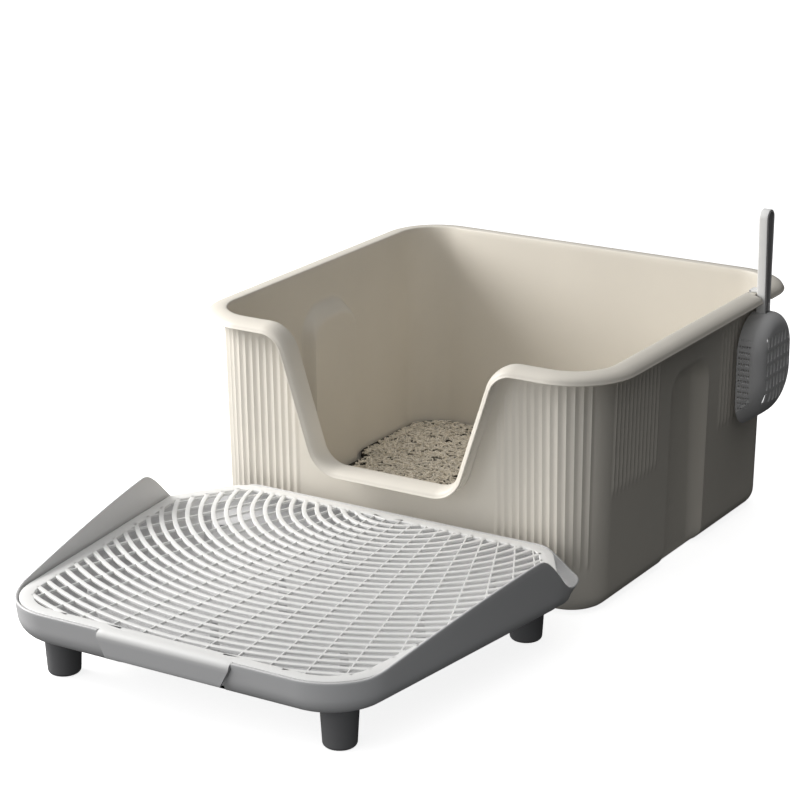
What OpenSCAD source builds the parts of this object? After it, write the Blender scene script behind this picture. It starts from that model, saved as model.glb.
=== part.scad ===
// Open-top cat litter box: a deep pan with a rolled rim and a low front entry,
// a catch step with a lift-out grille, and a scoop hooked on the rim.
// Millimetres. +X right, +Y to the rear, +Z up, origin on the floor under the middle of the pan.

/* [Pan] */
// Width between the inner edges of the rim
pan_w = 493; // [440:1:560]
// Depth between the inner edges of the rim
pan_d = 470; // [430:1:540]
// Height of the rim
pan_h = 280; // [240:1:320]
// Thickness of the pan's wall and floor
pan_wall = 3; // [2:0.1:4]
// Corner radius of the rim's inner edge
pan_corner_r = 50; // [40:1:70]
// Inward lean of the walls from the rim to the floor
pan_draft = 6; // [3:0.5:12]
// Radius between walls and floor, outside
pan_base_r = 20; // [12:1:26]

/* [Rim lip] */
// How far the lip reaches out from the inner edge
lip_w = 24; // [22:0.5:34]
// Height of the lip's turned-down edge
lip_h = 10; // [8.5:0.5:15]
// How far the lip's lower edge turns out
lip_bead = 0.9; // [0:0.1:1.5]
// Thickness of the lip
lip_t = 3; // [2:0.1:4]

/* [Entry] */
// Height of the entry's sill
sill_h = 126; // [110:1:150]
// Width of the entry, measured where its flanks would meet the sill
sill_w = 167; // [140:1:200]
// Lean of the entry's flanks from upright, in degrees
flank_lean = 18; // [10:1:24]
// Radius at the foot of each flank
sill_r = 30; // [22:1:40]
// Radius at the top of each flank
shoulder_r = 38; // [28:1:46]

/* [Flutes] */
// Distance from one flute to the next
flute_pitch = 9.3; // [7:0.1:14]
// How far a flute stands out of the wall
flute_h = 1.2; // [0.6:0.1:1.8]
// Foot of the flutes at the front and rear corners
flute_foot = 50; // [40:1:90]
// Foot of the flutes on the side walls
flute_side_foot = 128; // [90:1:170]
// Turn of each corner that has flutes, from the front or rear wall, in degrees
flute_turn = 52; // [20:1:70]
// Plain wall between the recess and the first flute
flute_recess_gap = 28; // [10:1:40]

/* [Side recess] */
// Width of the arched recess in each side wall
recess_w = 98; // [60:1:110]
// Height of the recess above the floor
recess_h = 234; // [180:1:240]
// Depth of the recess
recess_depth = 12; // [6:0.5:15]
// Radius of its upper corners
recess_r = 32; // [20:1:40]

/* [Litter] */
// Height of the litter at the walls
litter_h = 22; // [21:1:60]
// How much higher the heap stands in the middle
litter_heap = 12; // [0:1:30]

/* [Step tray] */
// Sideways place of the step's middle
step_x = 11.4; // [-20:0.2:20]
// Gap between the pan's wall and the step
step_gap = 18; // [14:1:60]
// Depth of the tray over its walls
tray_d = 435; // [380:1:480]
// Width of the tray at the front
tray_front_w = 431; // [380:1:470]
// Width of the tray at the rear
tray_rear_w = 528; // [480:1:560]
// Height of the tray's underside
tray_floor_z = 47; // [40:1:60]
// Thickness of the tray's walls and floor
tray_wall = 3; // [2:0.1:4]
// Radius between the tray's walls and floor, outside
tray_base_r = 24; // [14:1:26]
// Radius of the front corners
tray_front_r = 70; // [50:1:80]
// Radius of the rear corners, which are the pour spouts
tray_rear_r = 80; // [66:1:90]
// Height of the wings above the grille, at their tips
wing_h = 35; // [20:1:50]
// Depth of the spouts below the grille
spout_drop = 16.5; // [8:0.5:18]
// Outward lean of a spout's lip
spout_flare = 9; // [0:0.5:12]

/* [Step grille] */
// Height of the grille's top
grille_z = 86.5; // [80:0.5:100]
// Thickness of the grille
grille_t = 3; // [2:0.1:4]
// Gap between the grille's edge and the tray's wall
grille_gap = 1; // [0.5:0.1:2]
// Width of the plain border
grille_border = 14; // [8:1:20]
// Distance from one ring rib to the next
ring_pitch = 14.4; // [12:0.1:20]
// Width of a ring rib
ring_rib = 5.4; // [4:0.1:7]
// Angle from one cross rib to the next
spoke_step = 3.1; // [2.6:0.1:5]
// Width of a cross rib
spoke_rib = 2.2; // [1.4:0.1:3.5]
// Distance of the rings' centre behind the grille
ring_centre = 28; // [10:1:60]
// Distance of the cross ribs' centre behind the grille
spoke_centre = 292; // [200:1:400]
// Width of the pull tab at its root
tab_w = 160; // [120:1:180]
// Width of the pull tab at its tip
tab_tip_w = 138; // [100:1:170]
// How far the tab hangs below the grille's top
tab_drop = 27; // [18:1:32]
// Outer radius of the tab's fold
tab_fold_r = 7; // [4:0.5:10]
// Depth of the finger pocket behind the tab
pocket_d = 18; // [12:1:26]

/* [Feet] */
// Diameter at the top of a foot
foot_top_d = 40; // [30:1:46]
// Diameter at the floor
foot_tip_d = 35; // [26:1:40]
// Radius round a foot's lower edge
foot_edge_r = 5; // [2:0.5:8]
// Distance of the feet from the tray's front and rear edges
foot_inset_y = 56; // [45:1:80]
// Distance of the front feet from the tray's side edges
front_foot_inset_x = 52; // [45:1:80]
// Distance of the rear feet from the tray's side edges
rear_foot_inset_x = 61; // [45:1:80]
// Diameter of the peg on a foot
peg_d = 12; // [8:0.5:18]
// Gap round a peg in the tray's floor
peg_gap = 0.4; // [0.35:0.05:0.8]
// Diameter of the grille's posts at the top
post_d = 8; // [6:0.5:12]

/* [Scoop] */
// Distance of the scoop from the rim's rear inner edge
scoop_inset = 81; // [79:1:115]
// Width of the scoop head
head_w = 92; // [80:1:98]
// Length of the scoop head
head_l = 134; // [126:1:150]
// Depth of the scoop head
head_d = 32; // [26:1:40]
// Thickness of the scoop head
head_t = 2.4; // [2:0.1:3]
// Top of the scoop head below the rim
head_drop = 23; // [16:1:30]
// How far the head's lip runs ahead of its broad face
head_nose = 22; // [8:1:26]
// Gap between the pan's wall and the scoop head
head_gap = 5; // [4:0.5:10]
// Width of the handle at its top
handle_w = 20; // [18:1:26]
// Width of the handle at its foot
handle_foot_w = 15; // [12:0.5:18]
// Thickness of the handle
handle_t = 11.6; // [9:0.1:12]
// Height of the handle above the rim
handle_up = 100; // [80:1:140]
// Width of the hook
hook_w = 13; // [10:0.5:16]
// Thickness of the hook
hook_t = 2.6; // [2:0.1:3.5]
// How far the hook's finger reaches below the top of the rim
hook_drop = 8; // [5:0.5:8]
// Gap round the hook and handle where they pass the rim
hook_gap = 0.8; // [0.4:0.1:1.5]
// Length of the bar of rim that the hook sits on
hook_bar = 6; // [4:0.5:8]

/* [Hidden] */

// Small lengths: a cut's overrun, and the seat of one piece of a union in the next
over = 1;
seat = 0.5;
arc_steps = 7;
fillet_steps = 5;

beige = [0.86, 0.82, 0.75];
light_grey = [0.62, 0.62, 0.63];
white = [0.95, 0.95, 0.94];
dark_grey = [0.22, 0.22, 0.23];
granule = [0.66, 0.61, 0.53];

// ---------- Shared functions ----------

function lerp(a, b, t) = a + (b - a) * t;
function clamp01(t) = min(1, max(0, t));
function smooth(t) = let (c = clamp01(t)) c * c * (3 - 2 * c);
function unit(v) = v / norm(v);
function flat(lists) = [for (l = lists) each l];
function turn_of(a, b) = let (d = b - a) d > 180 ? d - 360 : d < -180 ? d + 360 : d;

// Points round one corner q of an outline, between its neighbours p and s, with radius r
function corner(p, q, s, r, n) =
    let (u = unit(p - q), v = unit(s - q), half = acos(u * v) / 2,
         c = q + unit(u + v) * r / sin(half),
         m = q + u * r / tan(half) - c, k = q + v * r / tan(half) - c,
         a = atan2(m.y, m.x), sweep = turn_of(a, atan2(k.y, k.x)))
    [for (i = [0:n]) c + r * [cos(a + sweep * i / n), sin(a + sweep * i / n)]];

// Outline with round corners, from corners given as [x, y, radius], counter-clockwise
function round_outline(cs, n = arc_steps) =
    let (k = len(cs))
    flat([for (i = [0:k - 1])
        let (p = cs[(i + k - 1) % k], q = cs[i], s = cs[(i + 1) % k])
        corner([p.x, p.y], [q.x, q.y], [s.x, s.y], q.z, n)]);

// Outward normal at each point of a counter-clockwise outline
function normals(o) =
    let (k = len(o))
    [for (i = [0:k - 1]) let (t = unit(o[(i + 1) % k] - o[(i + k - 1) % k])) [t.y, -t.x]];

// Closed solid through rings of equal count; the first and last ring are flat and become its ends
module loft(rings) {
    n = len(rings[0]);
    last = len(rings) - 1;
    sides = [for (i = [0:last - 1], j = [0:n - 1], half = [0, 1])
        let (a = i * n + j, b = i * n + (j + 1) % n)
        half == 0 ? [a, a + n, b] : [b, a + n, b + n]];
    polyhedron(points = flat(rings),
        faces = concat([[for (j = [0:n - 1]) j]], sides, [[for (j = [n - 1:-1:0]) last * n + j]]));
}

// ---------- Pan ----------

half_w = pan_w / 2;
half_d = pan_d / 2;
sill_x = sill_w / 2;
flank_end = 90 - flank_lean;
sill_arc_x = sill_x - sill_r * (1 - sin(flank_lean)) / cos(flank_lean);
shoulder_x = sill_x + (shoulder_r + (pan_h - sill_h - shoulder_r) * sin(flank_lean)) / cos(flank_lean);

// Right half of the entry's edge, from the middle out: [x, z, into-wall x, into-wall z]
entry_half = concat(
    [[0, sill_h, 0, -1]],
    [for (i = [0:arc_steps]) let (a = flank_end * i / arc_steps)
        [sill_arc_x + sill_r * sin(a), sill_h + sill_r * (1 - cos(a)), sin(a), -cos(a)]],
    [for (i = [arc_steps:-1:0]) let (a = flank_end * i / arc_steps)
        [shoulder_x - shoulder_r * sin(a), pan_h - shoulder_r * (1 - cos(a)), sin(a), -cos(a)]]);

// Stations round the rim: [x, y, z, out x, out y, into-wall along the wall, into-wall z]
front_stations = concat(
    [for (i = [len(entry_half) - 1:-1:1]) let (e = entry_half[i])
        [-e[0], -half_d, e[1], 0, -1, -e[2], e[3]]],
    [for (e = entry_half) [e[0], -half_d, e[1], 0, -1, e[2], e[3]]]);
corner_x = half_w - pan_corner_r;
corner_y = half_d - pan_corner_r;
corner_stations = [for (q = [[1, -1, -90], [1, 1, 0], [-1, 1, 90], [-1, -1, 180]], i = [0:arc_steps])
    let (a = q[2] + 90 * i / arc_steps)
    [q[0] * corner_x + pan_corner_r * cos(a), q[1] * corner_y + pan_corner_r * sin(a), pan_h,
     cos(a), sin(a), 0, -1]];
stations = concat(front_stations, corner_stations);

// Point out from a station's edge and down into its wall
function rim_point(s, out, down) =
    [s[0] + s[3] * out - s[4] * s[5] * down, s[1] + s[4] * out + s[3] * s[5] * down, s[2] + s[6] * down];

// Point of a station's column at height z, out from the inner edge
function wall_point(s, out, down, z) = let (p = rim_point(s, out, down)) [p.x, p.y, z];

function lean_at(z) = pan_draft * (pan_h - z) / pan_h;

inner_base_r = pan_base_r - pan_wall;
inner_start = 2;
// The lip's section, [out, down], from the wall's foot of the lip round its edge to the inner edge
lip_section = [
    [pan_wall, lip_t + 5], [pan_wall + 1.5, lip_t + 2], [pan_wall + 5, lip_t + 0.4],
    [lip_w * 0.6, lip_t + 1], [lip_w - lip_t - 4, lip_t + 3], [lip_w - lip_t - 0.5, lip_t + 6.5],
    [lip_w - lip_t, lip_h], [lip_w + lip_bead, lip_h], [lip_w + lip_bead, lip_h - 1.1],
    [lip_w, lip_h * 0.76], [lip_w - 1.4, lip_h * 0.5], [lip_w - 4.5, lip_h * 0.27],
    [lip_w - 9.5, lip_h * 0.1], [lip_w * 0.3, 0], [2.4, 0], [0.7, 0.6],
    [0, inner_start]];
lip_foot = lip_section[0][1];

pan_rings = concat(
    [for (i = [0:fillet_steps]) let (a = 90 * i / fillet_steps)
        [for (s = stations) wall_point(s, pan_wall - lean_at(pan_base_r) - pan_base_r * (1 - sin(a)),
            lip_foot, pan_base_r * (1 - cos(a)))]],
    [for (q = lip_section) [for (s = stations) rim_point(s, q[0], q[1])]],
    [for (i = [fillet_steps:-1:0]) let (a = 90 * i / fillet_steps)
        [for (s = stations) wall_point(s, -lean_at(pan_base_r) - inner_base_r * (1 - sin(a)),
            inner_start, pan_wall + inner_base_r * (1 - cos(a)))]]);

// Plan of the pan at a distance out from the rim's inner edge
function pan_plan(out) = [for (s = corner_stations) [s[0] + s[3] * out, s[1] + s[4] * out]];
function at_z(o, z) = [for (p = o) [p.x, p.y, z]];

// The pan's outer form as one solid block, up to the lip
module pan_block() {
    loft(concat(
        [for (i = [0:fillet_steps]) let (a = 90 * i / fillet_steps)
            at_z(pan_plan(pan_wall - lean_at(pan_base_r) - pan_base_r * (1 - sin(a))),
                pan_base_r * (1 - cos(a)))],
        [at_z(pan_plan(pan_wall - lean_at(pan_h - lip_foot)), pan_h - lip_foot)]));
}

// Arch-topped prism of the given half-width, height and corner radius, from x outward
module arch_slab(half, top, r, x, thick) {
    translate([x, 0, 0]) rotate([90, 0, 90]) linear_extrude(thick)
        polygon(round_outline([[half, top, r], [-half, top, r],
                               [-half, -over, 0.5], [half, -over, 0.5]], 5));
}

recess_taper = 7;
wall_face = half_w + pan_wall;
// The recess in the right wall, made larger all round by grow
module recess_block(grow) {
    hull() {
        arch_slab(recess_w / 2 + grow, recess_h + grow, recess_r + grow, wall_face + over, 1);
        arch_slab(recess_w / 2 + grow - recess_taper, recess_h + grow - recess_taper, recess_r,
            wall_face - pan_draft - recess_depth - grow, 1);
    }
}

module both_sides() {
    children();
    mirror([1, 0, 0]) children();
}

// Rim height over a place x along the front
function edge_z(x) =
    let (ax = abs(x), foot = shoulder_x - shoulder_r * cos(flank_lean))
    ax >= shoulder_x ? pan_h
    : ax >= foot ? pan_h - shoulder_r + sqrt(pow(shoulder_r, 2) - pow(shoulder_x - ax, 2))
    : ax >= sill_x ? sill_h + (ax - sill_x) / tan(flank_lean) : sill_h;

flute_crest = 0.4;
flute_root = 0.76;
flute_lip_gap = 6;
// One flute up the pan's wall from height low to high, at the plan point p with outward direction o
module flute(p, o, low, high) {
    side = [-o.y, o.x] * flute_pitch / 2;
    function section(z) = let (face = p + o * (pan_wall - lean_at(z)), crest = face + o * flute_h)
        at_z([crest + side * flute_crest, face - o + side * flute_root,
              face - o - side * flute_root, crest - side * flute_crest], z);
    hull() loft([section(low), section(high)]);
}

flute_top = pan_h - lip_foot - flute_lip_gap;
flute_front_start = shoulder_x - shoulder_r;
module flutes() {
    // Straight runs: front and rear walls, then the side walls beside the recess
    front_n = floor((corner_x - flute_front_start) / flute_pitch);
    for (i = [0:front_n], side = [-1, 1])
        let (x = corner_x - i * flute_pitch,
             high = min(flute_top, edge_z(x - lip_foot - 4) - lip_foot - 2 * flute_lip_gap)) {
            flute([side * x, -half_d], [0, -1], flute_foot, high);
            flute([side * x, half_d], [0, 1], flute_foot, flute_top);
        }
    side_start = recess_w / 2 + flute_recess_gap;
    side_n = floor((corner_y - side_start) / flute_pitch);
    for (i = [0:side_n], side = [-1, 1], end = [-1, 1])
        flute([side * half_w, end * (corner_y - i * flute_pitch)], [side, 0], flute_side_foot, flute_top);
    // Round the four corners, as far as flute_turn
    corner_n = round((pan_corner_r + pan_wall) * PI / 2 / flute_pitch);
    for (i = [1:floor(corner_n * flute_turn / 90)], sx = [-1, 1], sy = [-1, 1])
        let (a = 90 * i / corner_n, o = [sx * sin(a), sy * cos(a)])
        flute([sx * corner_x, sy * corner_y] + o * pan_corner_r, o, flute_foot, flute_top);
}

// Rim cut-outs for the scoop, from the handle's and the hook's own sizes
handle_in = half_w + pan_wall + 10.5;
bar_in = handle_in - hook_bar - hook_gap;
hook_in = bar_in - hook_gap - hook_t;
scoop_y = half_d - scoop_inset;
module scoop_cuts() {
    hole_w = handle_w + 2 * hook_gap;
    translate([handle_in - hook_gap, scoop_y - hole_w / 2, pan_h - lip_h - over])
        cube([lip_w + lip_bead, hole_w, lip_h + 2 * over]);
    slot_w = hook_w + 2 * hook_gap;
    translate([hook_in - hook_gap, scoop_y - slot_w / 2, pan_h - lip_h - over])
        cube([hook_t + 2 * hook_gap, slot_w, lip_h + 2 * over]);
}

module litter_pan() {
    color(beige) difference() {
        union() {
            loft(pan_rings);
            intersection() {
                pan_block();
                both_sides() recess_block(pan_wall);
            }
            flutes();
        }
        both_sides() recess_block(0);
        scoop_cuts();
    }
}

// ---------- Litter ----------

litter_gap = 0.4;
litter_steps = 5;
// Extra room where the recess stands into the pan
function litter_pull(p) = (abs(p.x) > corner_x ? 1 : 0) * smooth((recess_w / 2 + 22 - abs(p.y)) / 12)
    * (recess_depth + pan_wall + 2);
side_marks = [-70, -62, -54, -30, 0, 30, 54, 62, 70];
// The pan's plan with extra points along the side walls, so that the recess can be followed
function litter_ring(out) = let (o = pan_plan(out), n = arc_steps + 1)
    concat([for (i = [0:n - 1]) o[i]],
        [for (y = side_marks) [half_w + out - litter_pull([half_w, y]), y]],
        [for (i = [n:3 * n - 1]) o[i]],
        [for (y = side_marks) [-half_w - out + litter_pull([half_w, y]), -y]],
        [for (i = [3 * n:4 * n - 1]) o[i]]);
// Gentle waves of the raked surface
function litter_wave(p) = 1.6 * sin(p.x * 2.1 + p.y) + 1.4 * sin(p.y * 2.6 - p.x * 0.7);
litter_top = litter_ring(-lean_at(litter_h) - litter_gap);
module litter() {
    low = pan_wall + litter_gap;
    color(granule) loft(concat(
        [for (i = [0:fillet_steps]) let (a = 90 * i / fillet_steps)
            at_z(litter_ring(-lean_at(pan_base_r) - litter_gap - inner_base_r * (1 - sin(a))),
                low + (inner_base_r - litter_gap) * (1 - cos(a)))],
        [at_z(litter_top, litter_h)],
        [for (i = [1:litter_steps]) let (f = i / (litter_steps + 0.5))
            [for (p = litter_top) let (q = p * (1 - f))
                [q.x, q.y, litter_h + litter_heap * smooth(1.3 * f)
                    + (i < litter_steps ? litter_wave(q) : 0)]]]));
}

// ---------- Step: tray ----------

tray_rear = -half_d - pan_wall - step_gap + pan_draft;
tray_front = tray_rear - tray_d;
side_slope = (tray_rear_w - tray_front_w) / 2 / tray_d;
tray_arc_steps = 10;
// Plan of the step, in from the tray's outer face, counter-clockwise from the front left
function step_plan(in) =
    let (f = tray_front_w / 2 - in, r = tray_rear_w / 2 - in)
    round_outline([[-f - side_slope * in, tray_front + in, tray_front_r - in],
                   [f + side_slope * in, tray_front + in, tray_front_r - in],
                   [r - side_slope * in, tray_rear - in, tray_rear_r - in],
                   [-r + side_slope * in, tray_rear - in, tray_rear_r - in]], tray_arc_steps);

wing_start = 38;
wing_tip = 128;
spout_y = tray_rear - tray_rear_r;
spout_x = tray_rear_w / 2 - tray_rear_r * (side_slope + sqrt(1 + pow(side_slope, 2)));
// Shares of the turn round a rear corner: where the wing's fall ends, where the rise to the rear edge
// starts and ends, and the middle of the flare
fall_end = 0.22;
rise_start = 0.5;
rise_end = 0.9;
flare_mid = 0.42;
// Height of the leaning lip over the fillet at the lowest place
lip_room = 10;
// Rim height over the grille along the tray's edge: wing, spout, rear edge
function wing_rise(y) = let (t = clamp01((y - tray_front - wing_start) / (tray_d - wing_start - wing_tip)))
    wing_h * (1 - pow(1 - t, 1.27));
// Turn round a rear corner from its side end, 0, to its rear end, 1
function corner_turn(p) = clamp01(atan2(p.y - spout_y, abs(p.x) - spout_x) / 90);
function rim_rise(p) =
    let (turn = corner_turn(p), dip_len = wing_tip - tray_rear_r,
         run = max(0, p.y - (tray_rear - wing_tip)),
         down = run < dip_len ? run : dip_len + turn * 90 * PI / 180 * tray_rear_r,
         low_at = dip_len + fall_end * 90 * PI / 180 * tray_rear_r)
    p.y < tray_rear - wing_tip ? wing_rise(p.y)
    : turn < fall_end ? lerp(wing_h, -spout_drop, smooth(down / low_at))
    : lerp(-spout_drop, 0, smooth((turn - rise_start) / (rise_end - rise_start)));
function spout_share(p) = smooth(1 - abs(corner_turn(p) - flare_mid) / flare_mid);

wing_lean = 0.11;
rim_lip = 4;
lean_z = grille_z + rim_lip;
wing_steps = 14;
// Points along the tray's plan, with extra ones up the wings and round the rear corners
function fill(a, b, n) = [for (i = [1:n - 1]) lerp(a, b, i / n)];
function tray_plan(in) =
    let (o = step_plan(in), n = tray_arc_steps + 1,
         a = [for (i = [0:2 * n - 1]) o[i]], b = [for (i = [2 * n:4 * n - 1]) o[i]])
    concat(a, fill(a[2 * n - 1], b[0], wing_steps), b, fill(b[2 * n - 1], a[0], wing_steps));

tray_edge = tray_plan(0);
tray_out = normals(tray_edge);
// Height of the rim at each point of the plan, held at the grille's top along the front
rim_z = [for (p = tray_edge) grille_z + rim_rise(p)];
module step_shell() {
    n = len(tray_edge);
    fillet_z = tray_floor_z + tray_base_r;
    // Top of the fillet, lower where the rim dips into a spout
    top = [for (z = rim_z) min(fillet_z, z - lip_room)];
    // Ring of the fillet that starts at height low, at angle a
    function ring(in, low, a) = let (o = tray_plan(in))
        [for (j = [0:n - 1]) [o[j].x, o[j].y, lerp(low, top[j], 1 - cos(a))]];
    function rim_ring(in, down) = [for (j = [0:n - 1])
        let (p = tray_edge[j], z = rim_z[j] - down,
             out = wing_lean * (z - lean_z) + spout_flare * spout_share(p) - in)
        [p.x + tray_out[j].x * out, p.y + tray_out[j].y * out, z]];
    foot_in = wing_lean * (lean_z - fillet_z);
    loft(concat(
        [for (i = [0:fillet_steps]) let (a = 90 * i / fillet_steps)
            ring(foot_in + tray_base_r * (1 - sin(a)), tray_floor_z, a)],
        [rim_ring(0, 1.2), rim_ring(0.6, 0.2), rim_ring(tray_wall / 2, 0), rim_ring(tray_wall - 0.6, 0.2),
         rim_ring(tray_wall, 1.2)],
        [for (i = [fillet_steps:-1:0]) let (a = 90 * i / fillet_steps, r = tray_base_r - tray_wall)
            ring(foot_in + tray_wall + r * (1 - sin(a)), tray_floor_z + tray_wall, a)]));
}

pocket_half = tab_w / 2 + 4;
// Space for the fingers behind the tab, made larger by grow
module pocket_block(grow, top) {
    translate([-pocket_half - grow, tray_front - 2 * over, tray_floor_z - over])
        cube([2 * (pocket_half + grow), pocket_d + grow + 2 * over, top - tray_floor_z + over]);
}

grille_under = grille_z - grille_t;
post_ys = [0.2, 0.48, 0.76];
// One post from the tray's floor to the grille
module post(x, y) {
    translate([x, y, 0]) hull() {
        translate([0, 0, grille_under - 1]) cylinder(d = post_d, h = 1, $fn = 8);
        translate([0, 0, tray_floor_z + tray_wall - seat]) cylinder(d = post_d + 3, h = 1, $fn = 8);
    }
}

function half_at(y) = tray_front_w / 2 + side_slope * (y - tray_front);
foot_ys = [tray_front + foot_inset_y, tray_rear - foot_inset_y];
foot_insets = [front_foot_inset_x, rear_foot_inset_x];
function foot_at(side, end) = [side * (half_at(foot_ys[end]) - foot_insets[end]), foot_ys[end]];
post_inset = 70;

module step_tray() {
    color(light_grey) translate([step_x, 0, 0]) difference() {
        union() {
            difference() {
                step_shell();
                pocket_block(0, grille_z + wing_h);
            }
            intersection() {
                difference() {
                    pocket_block(tray_wall, grille_under);
                    pocket_block(0, grille_z + wing_h);
                }
                loft([at_z(tray_plan(14), tray_floor_z), at_z(tray_plan(0), tray_floor_z + tray_base_r),
                      at_z(tray_plan(0), grille_z)]);
            }
            for (f = post_ys, side = [-1, 0, 1])
                let (y = lerp(tray_front, tray_rear, f)) post(side * (half_at(y) - post_inset), y);
        }
        for (side = [-1, 1], end = [0, 1])
            translate([foot_at(side, end).x, foot_at(side, end).y, tray_floor_z - over])
                cylinder(d = peg_d + 2 * peg_gap, h = tray_wall + 2 * over, $fn = 28);
    }
}

// ---------- Step: grille ----------

grille_side_r = 20;
grille_rear_r = 44;
least_r = 6;
chamfer_side = 78;
chamfer_rear = 59;
// The grille's edge stands in from the tray's outer face, clear of the lean of its wall
grille_edge_in = tray_wall + grille_gap + wing_lean * (lean_z - grille_z + grille_t);
// Plan of the grille, in from its own edge, with the rear corners cut off to open the spouts
function grille_plan(in) =
    let (g = grille_edge_in + in, f = tray_front_w / 2 - g, y0 = tray_front + g, y1 = tray_rear - g,
         s = function(y) tray_front_w / 2 + side_slope * (y - tray_front) - g,
         cut = in * 0.42,
         side_r = max(least_r, grille_side_r - in), rear_r = max(least_r, grille_rear_r - in))
    [[-f, y0, tray_front_r - g], [f, y0, tray_front_r - g],
     [s(y1 - chamfer_side + cut), y1 - chamfer_side + cut, side_r],
     [s(y1) - chamfer_rear + cut, y1, rear_r],
     [-s(y1) + chamfer_rear - cut, y1, rear_r],
     [-s(y1 - chamfer_side + cut), y1 - chamfer_side + cut, side_r]];

grille_rear = tray_rear - grille_edge_in;
ring_at = [0, grille_rear + ring_centre];
spoke_at = [0, grille_rear + spoke_centre];
ring_last = ceil((tray_d + ring_centre) / ring_pitch) + 2;
spoke_last = ceil(atan2(tray_front_w / 2, spoke_centre + tray_d) / spoke_step) + 4;
smallest_slot = 0.068 * ring_pitch * ring_pitch;

// Far crossing of one edge of a cross rib with a circle round the rings' centre
function crossing(angle, off, r) =
    let (u = [cos(angle), sin(angle)], s = spoke_at + off * [-u.y, u.x] - ring_at,
         b = u * s, k = b * b - s * s + r * r)
    ring_at + s + u * (sqrt(max(0, k)) - b);
// The slot between two rings and two cross ribs
function slot_loop(k, i) =
    let (a = -90 + i * spoke_step, b = a + spoke_step, m = (a + b) / 2, w = spoke_rib / 2,
         near = k * ring_pitch + ring_rib / 2, far = (k + 1) * ring_pitch - ring_rib / 2)
    [crossing(a, w, near), crossing(a, w, far), crossing(m, 0, far), crossing(b, -w, far),
     crossing(b, -w, near), crossing(m, 0, near)];
// A loop cut off along the line from a to b, keeping what is left of it
function cut_loop(o, a, b) =
    let (n = len(o), s = [for (p = o) cross(b - a, p - a)])
    flat([for (i = [0:n - 1]) let (j = (i + 1) % n)
        concat(s[i] > 0 ? [o[i]] : [],
            s[i] * s[j] < 0 ? [lerp(o[i], o[j], s[i] / (s[i] - s[j]))] : [])]);
function clip(o, field, i = 0) =
    i == len(field) || len(o) == 0 ? o
    : clip(cut_loop(o, field[i], field[(i + 1) % len(field)]), field, i + 1);
function loop_area(o) = let (n = len(o))
    n < 3 ? 0 : abs([for (i = [0:n - 1]) cross(o[i], o[(i + 1) % n]) / 2] * [for (i = [0:n - 1]) 1]);

module grille_plate() {
    field = round_outline(grille_plan(grille_border), 8);
    slots = [for (k = [0:ring_last], i = [-spoke_last:spoke_last - 1])
        let (o = clip(slot_loop(k, i), field)) if (loop_area(o) > smallest_slot) o];
    difference() {
        polygon(round_outline(grille_plan(0), 8));
        for (o = slots) polygon(o);
    }
}

tab_out = 2.5;
tab_root = 6;
// Section of the tab across its fold: over the rim, round, and down
module tab_section() {
    out_y = tray_front - tab_out;
    translate([out_y + tab_fold_r, -tab_fold_r]) difference() {
        circle(r = tab_fold_r, $fn = 48);
        circle(r = tab_fold_r - grille_t, $fn = 48);
        translate([0, -2 * tab_fold_r]) square(4 * tab_fold_r);
        translate([-2 * tab_fold_r, -2 * tab_fold_r]) square([4 * tab_fold_r, 2 * tab_fold_r]);
    }
    translate([out_y + tab_fold_r, -grille_t])
        square([grille_edge_in + tab_out + tab_root - tab_fold_r, grille_t]);
    translate([out_y, -tab_drop]) square([grille_t, tab_drop - tab_fold_r]);
}

module grille_tab() {
    intersection() {
        translate([-tab_w / 2, 0, grille_z]) rotate([90, 0, 90]) linear_extrude(tab_w) tab_section();
        translate([0, tray_front + pocket_d, grille_z]) rotate([90, 0, 0]) linear_extrude(2 * pocket_d)
            polygon([[-tab_w / 2, over], [-tab_w / 2, -tab_fold_r], [-tab_tip_w / 2, -tab_drop - over],
                     [tab_tip_w / 2, -tab_drop - over], [tab_w / 2, -tab_fold_r], [tab_w / 2, over]]);
    }
}

module step_grille() {
    color(white) translate([step_x, 0, 0]) union() {
        translate([0, 0, grille_under]) linear_extrude(grille_t) grille_plate();
        grille_tab();
    }
}

// ---------- Step: feet ----------

module foot(side, end) {
    p = foot_at(side, end);
    color(dark_grey) translate([step_x + p.x, p.y, 0]) {
        rotate_extrude($fn = 64) union() {
            translate([0, foot_edge_r]) polygon([[0, 0], [foot_tip_d / 2, 0],
                [foot_top_d / 2, tray_floor_z - foot_edge_r], [0, tray_floor_z - foot_edge_r]]);
            square([foot_tip_d / 2 - foot_edge_r, foot_edge_r + seat]);
            translate([foot_tip_d / 2 - foot_edge_r, foot_edge_r]) intersection() {
                circle(r = foot_edge_r, $fn = 48);
                translate([0, -foot_edge_r]) square(foot_edge_r);
            }
        }
        translate([0, 0, tray_floor_z - seat]) cylinder(d = peg_d, h = tray_wall + seat, $fn = 36);
    }
}

module front_left_foot() { foot(-1, 0); }
module front_right_foot() { foot(1, 0); }
module rear_left_foot() { foot(-1, 1); }
module rear_right_foot() { foot(1, 1); }

// ---------- Scoop ----------

head_in = half_w + pan_wall + head_gap;
head_top = pan_h - head_drop;
head_foot = head_top - head_l;
head_top_r = 45;
head_low_r = 32;
head_edge_r = 12;
handle_mid = handle_in + handle_t / 2;
socket_l = 14;
hook_seat = 0.3;
tongue_t = 6;
tongue_w = 9;
// Outline of the head at distance x from the pan's side, made smaller all round by in
function head_ring(in, x) =
    let (h = head_w / 2 - in, low = head_foot + head_nose * (x - head_in) / head_d + in,
         low_r = max(2, head_low_r - in),
         o = round_outline([[-h, low, low_r], [h, low, low_r],
                            [h, head_top - in, head_top_r - in], [-h, head_top - in, head_top_r - in]]))
    [for (p = o) [x, scoop_y + p.x, p.y]];

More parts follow.
